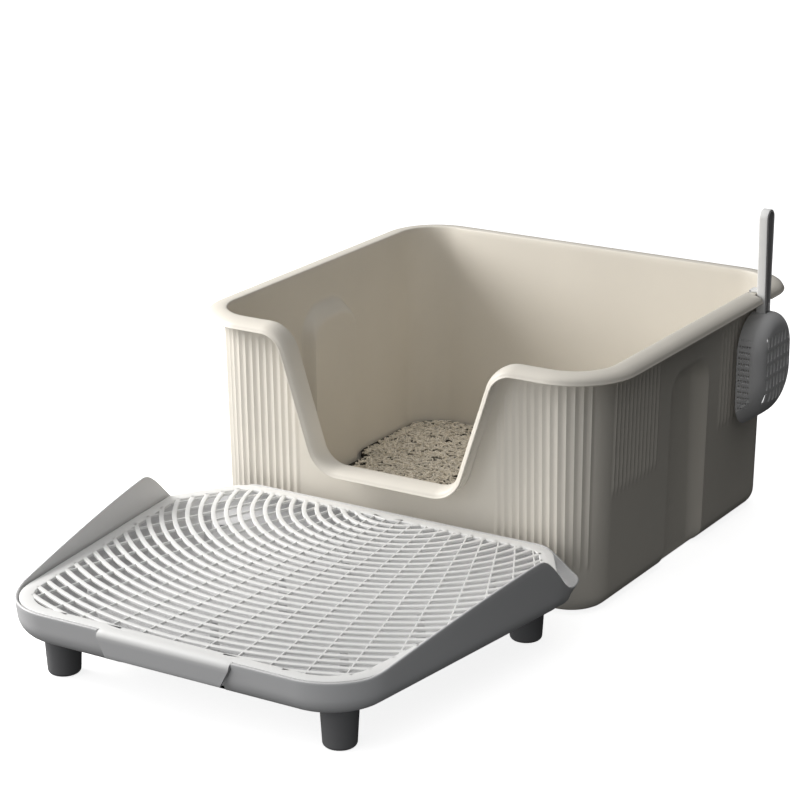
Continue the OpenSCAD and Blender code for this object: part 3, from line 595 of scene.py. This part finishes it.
STEP_X, GRILLE_Z, GRILLE_T, TRAY_Z, TRAY_WALL, TRAY_BASE = 11.4, 86.5, 3.0, 47.0, 3.0, 24.0
REAR, DEPTH, FRONT_W, REAR_W, FRONT_R, REAR_R = -250.0, 435.0, 431.0, 528.0, 70.0, 80.0
FRONT = REAR - DEPTH
SLOPE = (REAR_W - FRONT_W) / 2 / DEPTH
WING, WING_TIP, WING_START, DROP, FLARE, WING_LEAN = 35.0, 128.0, 38.0, 16.5, 9.0, 0.11
RIM_LIP, RIM_ROUND = 4.0, 1.3
LEAN_Z = GRILLE_Z + RIM_LIP
FOOT_IN = WING_LEAN * (LEAN_Z - TRAY_Z - TRAY_BASE)
SPOUT_X = REAR_W / 2 - REAR_R * (SLOPE + math.sqrt(1 + SLOPE ** 2))
# Shares of the turn round a rear corner: end of the wing's fall, start and end of the rise, middle of the
# flare; and the room kept between the rim and the rounded base
FALL_END, RISE_START, RISE_END, FLARE_MID, LIP_ROOM = 0.22, 0.5, 0.9, 0.42, 10.0


def half_at(y):
    return FRONT_W / 2 + SLOPE * (y - FRONT)


def step_plan(inset):
    """The tray's outline, inset, with the same points on every level."""
    arc, wing = 22, 44
    f, r = FRONT_W / 2 - inset, REAR_W / 2 - inset
    fx, fy, fr = f + SLOPE * inset, FRONT + inset, FRONT_R - inset
    rx, ry, rr = r - SLOPE * inset, REAR - inset, REAR_R - inset
    o = round_outline([(-fx, fy, fr), (fx, fy, fr), (rx, ry, rr), (-rx, ry, rr)], arc)
    n = arc + 1
    a, b = o[:2 * n], o[2 * n:]
    fill = lambda p, q: np.array([lerp(p, q, t) for t in np.linspace(0, 1, wing + 1)[1:-1]])
    return np.vstack([a, fill(a[-1], b[0]), b, fill(b[-1], a[0])])


def corner_turn(p):
    """Share of the turn round a rear corner, from its side to the rear edge."""
    return np.clip(np.degrees(np.arctan2(p[:, 1] - (REAR - REAR_R), np.abs(p[:, 0]) - SPOUT_X)) / 90, 0, 1)


def rim_rise(p):
    """Height of the rim over the grille."""
    turn = corner_turn(p)
    y = p[:, 1]
    t = np.clip((y - FRONT - WING_START) / (DEPTH - WING_START - WING_TIP), 0, 1)
    wing = WING * (1 - (1 - t) ** 1.27)
    dip = WING_TIP - REAR_R
    run = np.maximum(0, y - (REAR - WING_TIP))
    arc = math.pi / 2 * REAR_R
    down = np.where(run < dip, run, dip + turn * arc)
    fall = lerp(WING, -DROP, smooth(down / (dip + FALL_END * arc)))
    rise = lerp(-DROP, 0, smooth((turn - RISE_START) / (RISE_END - RISE_START)))
    return np.where(y < REAR - WING_TIP, wing, np.where(turn < FALL_END, fall, rise))


def at_z(o, z):
    return np.column_stack([o[:, 0], o[:, 1], np.broadcast_to(z, len(o))])


EDGE = step_plan(0)
EDGE_OUT = outline_normals(EDGE)
RIM_Z = GRILLE_Z + rim_rise(EDGE)
SPOUT = smooth(1 - np.abs(corner_turn(EDGE) - FLARE_MID) / FLARE_MID)


def tray_rings():
    top = np.minimum(TRAY_Z + TRAY_BASE, RIM_Z - LIP_ROOM)
    rings = []

    def side(inset, z, share):
        out = lerp(-FOOT_IN, WING_LEAN * (RIM_Z - LEAN_Z) + FLARE * SPOUT, share) - inset
        return np.column_stack([EDGE + EDGE_OUT * out[:, None], z])

    for a in np.radians(np.linspace(0, 90, 10)):
        rings.append(at_z(step_plan(FOOT_IN + TRAY_BASE * (1 - math.sin(a))),
                          lerp(TRAY_Z, top, 1 - math.cos(a))))
    for t in (0.3, 0.6, 0.85):
        rings.append(side(0, lerp(top, RIM_Z - RIM_ROUND, t), t))
    for a in np.radians(np.linspace(180, 0, 9)):
        rings.append(side(TRAY_WALL / 2 + TRAY_WALL / 2 * math.cos(a),
                          RIM_Z - RIM_ROUND + RIM_ROUND * math.sin(a), 1.0))
    for t in (0.85, 0.6, 0.3):
        rings.append(side(TRAY_WALL, lerp(top, RIM_Z - RIM_ROUND, t), t))
    for a in np.radians(np.linspace(90, 0, 9)):
        rings.append(at_z(step_plan(FOOT_IN + TRAY_WALL + (TRAY_BASE - TRAY_WALL) * (1 - math.sin(a))),
                          lerp(TRAY_Z + TRAY_WALL, top, 1 - math.cos(a))))
    return [r + np.array([STEP_X, 0, 0]) for r in rings]


TAB_W, TAB_TIP, TAB_DROP, FOLD, POCKET, POCKET_GAP = 160.0, 138.0, 27.0, 7.0, 18.0, 1.2
# Feet: distance from the ends, and from the sides in front and at the rear, and the peg's hole
FOOT_END, FOOT_SIDE_FRONT, FOOT_SIDE_REAR, PEG_HOLE_R = 56, 52, 61, 6.4
POST_SHARES, POST_SIDE, POST_R, POST_FOOT_R = (0.2, 0.48, 0.76), 70, 4, 5.5


def pocket(grow, near, far, top):
    """The finger pocket, with ends that follow the tab's."""
    wide, narrow = TAB_W / 2 + POCKET_GAP + grow, TAB_TIP / 2 + POCKET_GAP + grow
    fold_z, tip_z = GRILLE_Z - FOLD, GRILLE_Z - TAB_DROP
    foot_z = TRAY_Z - 3
    foot = narrow - (wide - narrow) * (tip_z - foot_z) / (fold_z - tip_z)
    return loft([[(STEP_X - h, near, z), (STEP_X + h, near, z), (STEP_X + h, far, z), (STEP_X - h, far, z)]
                 for h, z in ((foot, foot_z), (wide, fold_z), (wide, top))])


def cone(x, y, z0, z1, r0, r1, n=28):
    a = np.linspace(0, 2 * np.pi, n, endpoint=False)
    ring = lambda z, r: np.column_stack([x + r * np.cos(a), y + r * np.sin(a), np.full(n, z)])
    return loft([ring(z0, r0), ring(z1, r1)])


tray = make("tray_shell", *loft(tray_rings()))
cut(tray, [pocket(0, FRONT - 2, FRONT + POCKET, GRILLE_Z + WING)])
lining = make("tray_lining", *pocket(TRAY_WALL, FRONT - 2, FRONT + POCKET + TRAY_WALL, GRILLE_Z - GRILLE_T))
cut(lining, [pocket(0, FRONT - 4, FRONT + POCKET, GRILLE_Z + 5)])
# The lining stays inside the tray's own rounded outside
skin = [(FOOT_IN + TRAY_BASE * (1 - math.sin(a)), TRAY_Z + TRAY_BASE * (1 - math.cos(a)))
        for a in np.radians(np.linspace(0, 90, 10))]
cut(lining, [loft([at_z(step_plan(i + 0.15) + [STEP_X, 0], z) for i, z in (*skin, (0.5, GRILLE_Z))])],
    "INTERSECT")
feet_at = [(s * (half_at(y) - inset), y)
           for y, inset in ((FRONT + FOOT_END, FOOT_SIDE_FRONT), (REAR - FOOT_END, FOOT_SIDE_REAR))
           for s in (-1, 1)]
cut(tray, [cone(STEP_X + x, y, TRAY_Z - 1, TRAY_Z + 4, PEG_HOLE_R, PEG_HOLE_R) for x, y in feet_at])
posts = [cone(STEP_X + s * (half_at(y) - POST_SIDE), y, TRAY_Z + 2.5, GRILLE_Z - GRILLE_T, POST_FOOT_R, POST_R)
         for y in (lerp(FRONT, REAR, f) for f in POST_SHARES) for s in (-1, 0, 1)]
post = make("tray_posts", *joined(posts))
for piece in (tray, lining, post):
    place(piece, "step", TRAY, "tray", "step_tray")


# ---------- step: grille ----------

GRILLE_GAP = 1.0
RIM_IN = TRAY_WALL + GRILLE_GAP + WING_LEAN * (RIM_LIP + GRILLE_T)
BORDER, RING, RIB, SPOKE_STEP, SPOKE = 14.0, 14.4, 5.4, math.radians(3.1), 2.0
# Distance of the rings' centre and of the spokes' centre from the grille's rear edge, and how many there are
RING_CENTRE, SPOKE_CENTRE, RINGS, SPOKES_HALF = 28.0, 292.0, 35, 22
CHAMFER_SIDE, CHAMFER_REAR, SIDE_R, CHAMFER_R = 78.0, 59.0, 20.0, 44.0


def grille_plan(inset, n=14):
    """The grille's six-sided outline, inset."""
    g = RIM_IN + inset
    f, y0, y1, c = FRONT_W / 2 - g, FRONT + g, REAR - g, inset * 0.42
    s = lambda y: FRONT_W / 2 + SLOPE * (y - FRONT) - g
    ys, side_r, rear_r = y1 - CHAMFER_SIDE + c, max(6, SIDE_R - inset), max(6, CHAMFER_R - inset)
    return round_outline([(-f, y0, FRONT_R - g), (f, y0, FRONT_R - g), (s(ys), ys, side_r),
                          (s(y1) - CHAMFER_REAR + c, y1, rear_r), (-s(y1) + CHAMFER_REAR - c, y1, rear_r),
                          (-s(ys), ys, side_r)], n)


def in_field(p, o):
    """Which of the points lie inside the convex outline."""
    e = np.roll(o, -1, axis=0) - o
    d = p[:, None, :] - o[None]
    return np.all(e[None, :, 0] * d[:, :, 1] - e[None, :, 1] * d[:, :, 0] > 0, axis=1)


def bar(path, width, top, deep):
    """A rib along a path, with its upper edges rounded."""
    p = np.asarray(path, float)
    t = np.gradient(p, axis=0)
    t /= np.linalg.norm(t, axis=1)[:, None]
    n = np.stack([-t[:, 1], t[:, 0]], axis=1)
    w, r = width / 2, min(0.9, width / 3)
    prof = [(-w + 0.3, top - deep), (-w, top - r), (-w + r * 0.13, top - r * 0.5),
            (-w + r * 0.5, top - r * 0.13), (-w + r, top)]
    prof += [(-a, b) for a, b in prof[::-1]]
    rings = [np.column_stack([p + n * a, np.full(len(p), b)]) for a, b in prof]
    k = len(prof)
    v = np.stack(rings, axis=1).reshape(-1, 3)
    faces = band(len(p), k, len(p) - 1)
    faces += [list(range(k))[::-1], [(len(p) - 1) * k + j for j in range(k)]]
    return v, faces


def runs(path, keep):
    """The stretches of a path whose points are kept."""
    out, cur = [], []
    for p, k in zip(path, keep):
        if k:
            cur.append(p)
        elif cur:
            out.append(np.array(cur))
            cur = []
    if cur:
        out.append(np.array(cur))
    return [r for r in out if len(r) > 2]


def grille():
    under, top = GRILLE_Z - GRILLE_T, GRILLE_Z
    outer, field, reach = grille_plan(0), grille_plan(BORDER), grille_plan(BORDER - 3)
    n = len(outer)
    prof = [(outer, 0, under), (outer, 0, top - 0.9), (outer, 0.15, top - 0.4), (outer, 0.5, top - 0.12),
            (outer, 1.0, top), (field, -1.2, top), (field, -0.5, top - 0.15), (field, -0.12, top - 0.55),
            (field, 0, top - 1.2), (field, 0, under)]
    rings = [at_z(shrink(o, i), z) for o, i, z in prof]
    k = len(rings)
    v = np.stack(rings, axis=1).reshape(-1, 3)
    parts = [(v, band(n, k, n))]
    c = np.array([0, REAR - RIM_IN + RING_CENTRE])
    s = np.array([0, REAR - RIM_IN + SPOKE_CENTRE])
    for m in range(1, RINGS + 1):
        r = m * RING
        a = np.linspace(-math.pi, 0, max(40, int(r * math.pi / 4)))
        path = c + r * np.column_stack([np.cos(a), np.sin(a)])
        for piece in runs(path, in_field(path, reach)):
            parts.append(bar(piece, RIB, top, GRILLE_T))
    for i in range(-SPOKES_HALF, SPOKES_HALF + 1):
        a = -math.pi / 2 + i * SPOKE_STEP
        path = s + np.linspace(260, 760, 400)[:, None] * np.array([math.cos(a), math.sin(a)])
        for piece in runs(path, in_field(path, reach)):
            parts.append(bar(piece[[0, len(piece) // 2, -1]], SPOKE, top - 0.05, GRILLE_T - 0.2))
    v, faces = joined(parts)
    return v + np.array([STEP_X, 0, 0]), faces


TAB_OUT = 2.5


def tab():
    """The pull tab: a bent strip, wide at its root and narrower at its tip."""
    y0 = FRONT - TAB_OUT
    root = FRONT + RIM_IN
    mid = [(root + 8.5, GRILLE_Z - 0.5), (root + 7, GRILLE_Z + 0.04), (root + 1, GRILLE_Z + 0.04)]
    for a in np.radians(np.linspace(90, 180, 12)):
        mid.append((y0 + FOLD + FOLD * math.cos(a), GRILLE_Z - FOLD + FOLD * math.sin(a)))
    for z in np.linspace(GRILLE_Z - FOLD, GRILLE_Z - TAB_DROP + 1.4, 7)[1:]:
        mid.append((y0, z))
    mid.append((y0 + 0.4, GRILLE_Z - TAB_DROP + 0.4))
    outer = np.array(mid)
    t = np.gradient(outer, axis=0)
    t /= np.linalg.norm(t, axis=1)[:, None]
    inner = outer + np.stack([-t[:, 1], t[:, 0]], axis=1) * GRILLE_T
    inner[0] = (outer[0][0], GRILLE_Z - GRILLE_T)
    inner[-1] = (y0 + GRILLE_T - 0.4, GRILLE_Z - TAB_DROP + 0.4)
    edge = list(outer) + [(y0 + GRILLE_T / 2, GRILLE_Z - TAB_DROP)] + list(inner[::-1])
    k = len(edge)
    u = np.linspace(-1, 1, 41)
    v = []
    for s in u:
        for y, z in edge:
            f = np.clip((GRILLE_Z - FOLD - z) / (TAB_DROP - FOLD), 0, 1)
            w = lerp(TAB_W / 2, TAB_TIP / 2, f)
            soft = 0.35 if abs(s) > 0.999 else 0.0
            v.append((STEP_X + s * w, y, z - soft))
    faces = [[a, d, c, b] for a, b, c, d in band(len(u), k, len(u) - 1)]
    faces += [list(range(k)), [(len(u) - 1) * k + j for j in range(k)][::-1]]
    return np.array(v), faces


for name, (v, f), material in (("grille_plate", grille(), WHITE), ("grille_tab", tab(), TAB_PAINTED_SHADE)):
    piece = make(name, v, f)
    facing_out(piece)
    shade(piece, 40)
    place(piece, "grille", material, "grille", "step_grille")


# ---------- feet ----------

for node in ("front_left_foot", "front_right_foot", "rear_left_foot", "rear_right_foot"):
    obj = bpy.data.objects[node]
    obj.data.materials.clear()
    obj.data.materials.append(RUBBER)


# ---------- scoop ----------

HEAD_X, HEAD_W, HEAD_L, HEAD_D, HEAD_T, HEAD_TOP, NOSE = 254.5, 92.0, 134.0, 32.0, 2.4, 257.0, 22.0
HEAD_FOOT = HEAD_TOP - HEAD_L
# Corner radii of the head: at the top, and at the foot on its inner and its outer side; round of the outer edge
HEAD_TOP_R, HEAD_FOOT_R, HEAD_FOOT_R_OUT, HEAD_EDGE = 45, 32, 44, 15.0
HANDLE_T, HANDLE_TOP, HANDLE_FOOT_HALF, HANDLE_ROUND = 11.6, 380.0, 7.5, 1.8
# Slots in the broad face: columns, rows, pitches, size; and in the sides: rows, columns, pitches
BROAD_COLUMNS, BROAD_ROWS, BROAD_DY, BROAD_DZ, BROAD_W, BROAD_L = 7, 5, 9.4, 16.7, 4.2, 13.4
SIDE_ROWS, SIDE_COLUMNS, SIDE_DZ, SIDE_DX, SIDE_W = 13, 5, 6.85, 3.0, 1.9
SOCKET_X = 265.8


def head_ring(inset, x, n=16):
    h = HEAD_W / 2 - inset
    foot_r = lerp(HEAD_FOOT_R, HEAD_FOOT_R_OUT, (x - HEAD_X) / HEAD_D) - inset
    low = HEAD_FOOT + NOSE * (x - HEAD_X) / HEAD_D + inset
    high, top_r = HEAD_TOP - inset, HEAD_TOP_R - inset
    o = round_outline([(-h, low, foot_r), (h, low, foot_r), (h, high, top_r), (-h, high, top_r)], n)
    return np.column_stack([np.full(len(o), x), SCOOP_Y + o[:, 0], o[:, 1]])


def head_shell():
    out_x = HEAD_X + HEAD_D
    inner = HEAD_EDGE - HEAD_T
    rings = [head_ring(HEAD_T + inner * (1 - math.cos(a)), out_x - HEAD_T - inner * (1 - math.sin(a)))
             for a in np.radians(np.linspace(90, 0, 10))]
    rings += [head_ring(inset, HEAD_X + x) for inset, x in ((HEAD_T, 0.6), (HEAD_T - 0.4, 0.1), (HEAD_T / 2, 0),
                                                            (0.4, 0.1), (0, 0.6))]
    rings += [head_ring(HEAD_EDGE * (1 - math.cos(a)), out_x - HEAD_EDGE * (1 - math.sin(a)))
              for a in np.radians(np.linspace(0, 90, 12))]
    return loft(rings)


def broad_slot(y, z, wide, tall):
    """A slot through the broad face, with round ends."""
    a = np.radians(np.linspace(0, 180, 5))
    r = wide / 2
    o = [(r * math.cos(t), tall / 2 - r + r * math.sin(t)) for t in a]
    o += [(-r * math.cos(t), -tall / 2 + r - r * math.sin(t)) for t in a]
    return loft([[(x, y + p, z + q) for p, q in o] for x in (HEAD_X + HEAD_D - 12, HEAD_X + HEAD_D + 6)])


def side_slot(x, side, z):
    """A short slot through a side wall, with its lower edge sloping out and down."""
    near, far = SCOOP_Y + side * (HEAD_W / 2 - 5.4), SCOOP_Y + side * (HEAD_W / 2 + 2)
    section = [(near, z + 0.1), (far, z - 3.1), (far, z + 1.5), (near, z + 1.5)]
    return loft([[(a, y, h) for y, h in section] for a in (x, x + SIDE_W)])


head = make("scoop_bowl", *head_shell())
first = HEAD_FOOT + 26
tools = [broad_slot(SCOOP_Y + (i - BROAD_COLUMNS // 2) * BROAD_DY, first + 12 + j * BROAD_DZ, BROAD_W, BROAD_L)
         for i in range(BROAD_COLUMNS) for j in range(BROAD_ROWS)]
tools += [side_slot(HEAD_X + 2.6 + i * SIDE_DX, side, first + j * SIDE_DZ)
          for side in (-1, 1) for j in range(SIDE_ROWS) for i in range(SIDE_COLUMNS)]
cut(head, tools)
boss = make("scoop_socket", *loft([
    [(x, SCOOP_Y + y, HEAD_TOP - down) for x, y in round_box(SOCKET_X - a, -b, SOCKET_X + a, b, 1.5, 4)]
    for a, b, down in ((3.2, 5.2, 25), (6.0, 7.8, 14), (6.0, 7.8, 1.5), (5.4, 7.0, 0.4))]))
for piece in (head, boss):
    facing_out(piece)
    shade(piece)
    place(piece, "scoop", HEAD, "scoop", "scoop_head")
# The faces that the slots cut are painted paler than the skin: a painted highlight where the slot edges catch
# light
head.data.materials.append(SLOT_PAINTED_HIGHLIGHT)
for face in head.data.polygons:
    c = np.array(face.center) * 1000
    through_side = abs(c[1] - SCOOP_Y) > HEAD_W / 2 - HEAD_T - 0.1 and abs(face.normal.y) < 0.9
    through_front = c[0] > HEAD_X + HEAD_D - HEAD_T - 0.1 and abs(face.normal.x) < 0.2
    if first - 4 < c[2] < first + 90 and (c[0] < HEAD_X + 17 and through_side or through_front):
        face.material_index = 1


def handle():
    top_c = HANDLE_TOP - HANDLE_HALF
    a = np.radians(np.linspace(0, 180, 25))
    half = lambda z: lerp(HANDLE_HALF, HANDLE_FOOT_HALF, (top_c - z) / (top_c - HEAD_TOP))
    o = [(HANDLE_HALF * math.cos(t), top_c + HANDLE_HALF * math.sin(t)) for t in a]
    o += [(-half(z), z) for z in np.linspace(top_c, HEAD_TOP, 12)[1:]]
    o += [(half(z), z) for z in np.linspace(HEAD_TOP, top_c, 12)[:-1]]
    o = np.array(o)
    rings = []
    r = HANDLE_ROUND

    def ring(inset, x):
        q = shrink(o, inset)
        q[o[:, 1] < HEAD_TOP + 0.01, 1] = HEAD_TOP
        return np.column_stack([np.full(len(q), x), SCOOP_Y + q[:, 0], q[:, 1]])

    for t in np.radians(np.linspace(0, 90, 6)):
        rings.append(ring(r * (1 - math.sin(t)), HANDLE_X + r * (1 - math.cos(t))))
    for t in np.radians(np.linspace(90, 0, 6)):
        rings.append(ring(r * (1 - math.sin(t)), HANDLE_X + HANDLE_T - r * (1 - math.cos(t))))
    # The outer face is dished inside a narrow rim
    for inset, deep in ((r + 0.6, 0.0), (r + 1.0, 0.3), (r + 1.8, 1.5)):
        rings.append(ring(inset, HANDLE_X + HANDLE_T - deep))
    return loft(rings)


def soft_block(lo, hi, r=0.5):
    """A small block with every edge eased."""
    (x0, y0, z0), (x1, y1, z1) = lo, hi

    def ring(i, z):
        return [(*p, z) for p in round_box(x0 + i, y0 + i, x1 - i, y1 - i, r, 3)]

    return loft([ring(r * 0.6, z0), ring(0, z0 + r * 0.6), ring(0, z1 - r * 0.6), ring(r * 0.6, z1)])


parts = {
    "handle_grip": handle(),
    "handle_hook": joined([soft_block((HOOK_X, SCOOP_Y - HOOK_HALF, z0), (x1, SCOOP_Y + HOOK_HALF, z1))
                           for x1, z0, z1 in ((HANDLE_X + 1, HIGH + 0.3, HIGH + 2.9),
                                              (HOOK_X + 2.6, HIGH - 8, HIGH + 2.5))]),
    "handle_tongue": soft_block((SOCKET_X - 3, SCOOP_Y - 4.5, HEAD_TOP - 13.2),
                                (SOCKET_X + 3, SCOOP_Y + 4.5, HEAD_TOP + 0.8)),
}
for name, (v, f) in parts.items():
    piece = make(name, v, f)
    facing_out(piece)
    shade(piece)
    place(piece, "scoop", HANDLE, "handle", "scoop_handle")
    if name == "handle_grip":
        # The outer face, turned away from the key light, is painted dark: painted shade
        piece.data.materials.append(HANDLE_PAINTED_SHADE)
        for face in piece.data.polygons:
            x, z = face.center.x * 1000, face.center.z * 1000
            in_painted_shade = x < HANDLE_X + HANDLE_T - 0.2 or z < HEAD_TOP + 4
            if in_painted_shade and face.normal.x > 0.5:
                face.material_index = 1


# ---------- floor, light and camera ----------

def floor():
    mesh = bpy.data.meshes.new("floor")
    mesh.from_pydata([(-30, -30, 0), (30, -30, 0), (30, 30, 0), (-30, 30, 0)], [], [[0, 1, 2, 3]])
    obj = bpy.data.objects.new("floor", mesh)
    bpy.context.scene.collection.objects.link(obj)
    mat = bpy.data.materials.new("floor_paper")
    mat.use_nodes = True
    bsdf = mat.node_tree.nodes["Principled BSDF"]
    bsdf.inputs["Base Color"].default_value = (0.8, 0.8, 0.8, 1)
    bsdf.inputs["Roughness"].default_value = 0.9
    bsdf.inputs["Specular IOR Level"].default_value = 0.0
    bsdf.inputs["Emission Color"].default_value = (1, 1, 1, 1)
    bsdf.inputs["Emission Strength"].default_value = 0.83
    mesh.materials.append(mat)
    # The paper is bright, but throws next to no light back at the object
    obj.visible_diffuse = False
    obj.visible_glossy = False


def lamp(name, at, aim, size, watts, colour=(1, 1, 1)):
    light = bpy.data.lights.new(name, "AREA")
    light.shape, light.size = "DISK", size
    light.energy = watts
    light.color = colour
    obj = bpy.data.objects.new(name, light)
    obj.location = at
    obj.rotation_euler = (Vector(at) - Vector(aim)).to_track_quat("Z", "Y").to_euler()
    bpy.context.scene.collection.objects.link(obj)


def sky(strength, floor_strength, toward):
    """Soft light all round, strongest from one side, and weak from below."""
    world = bpy.data.worlds.new("studio")
    world.use_nodes = True
    nt = world.node_tree
    where = nt.nodes.new("ShaderNodeTexCoord")
    dot = nt.nodes.new("ShaderNodeVectorMath")
    dot.operation = "DOT_PRODUCT"
    dot.inputs[1].default_value = Vector(toward).normalized()
    level = nt.nodes.new("ShaderNodeMapRange")
    level.interpolation_type = "SMOOTHSTEP"
    level.inputs["From Min"].default_value = -0.3
    level.inputs["From Max"].default_value = 1.0
    level.inputs["To Min"].default_value = floor_strength
    level.inputs["To Max"].default_value = strength
    nt.links.new(where.outputs["Generated"], dot.inputs[0])
    nt.links.new(dot.outputs["Value"], level.inputs["Value"])
    nt.nodes["Background"].inputs["Color"].default_value = (1, 1, 1, 1)
    nt.links.new(level.outputs["Result"], nt.nodes["Background"].inputs["Strength"])
    bpy.context.scene.world = world


floor()
lamp("key", (-1.25, -0.60, 0.84), (0, -0.1, 0.1), 0.8, 20.5, (1.0, 0.985, 0.965))
lamp("front", (-0.60, -1.35, 0.40), (0.0, -0.3, 0.1), 0.5, 0.8)
lamp("fill", (0.66, -0.98, 0.10), (0.25, -0.45, 0.07), 0.3, 0.38, (0.94, 0.97, 1.0))
sky(0.80, 0.03, (-0.62, -0.30, 0.73))
bpy.context.scene.view_settings.view_transform = "Standard"

camera = bpy.data.cameras.new("camera")
camera.sensor_width = 36
camera.lens = 118.47
eye = bpy.data.objects.new("camera", camera)
turn = (Matrix.Rotation(math.radians(31.71), 4, "Z") @ Matrix.Rotation(math.radians(72.02), 4, "X")
        @ Matrix.Rotation(math.radians(-0.23), 4, "Z"))
eye.matrix_world = Matrix.Translation((1.45657, -2.57995, 1.10828)) @ turn
bpy.context.scene.collection.objects.link(eye)
bpy.context.scene.camera = eye
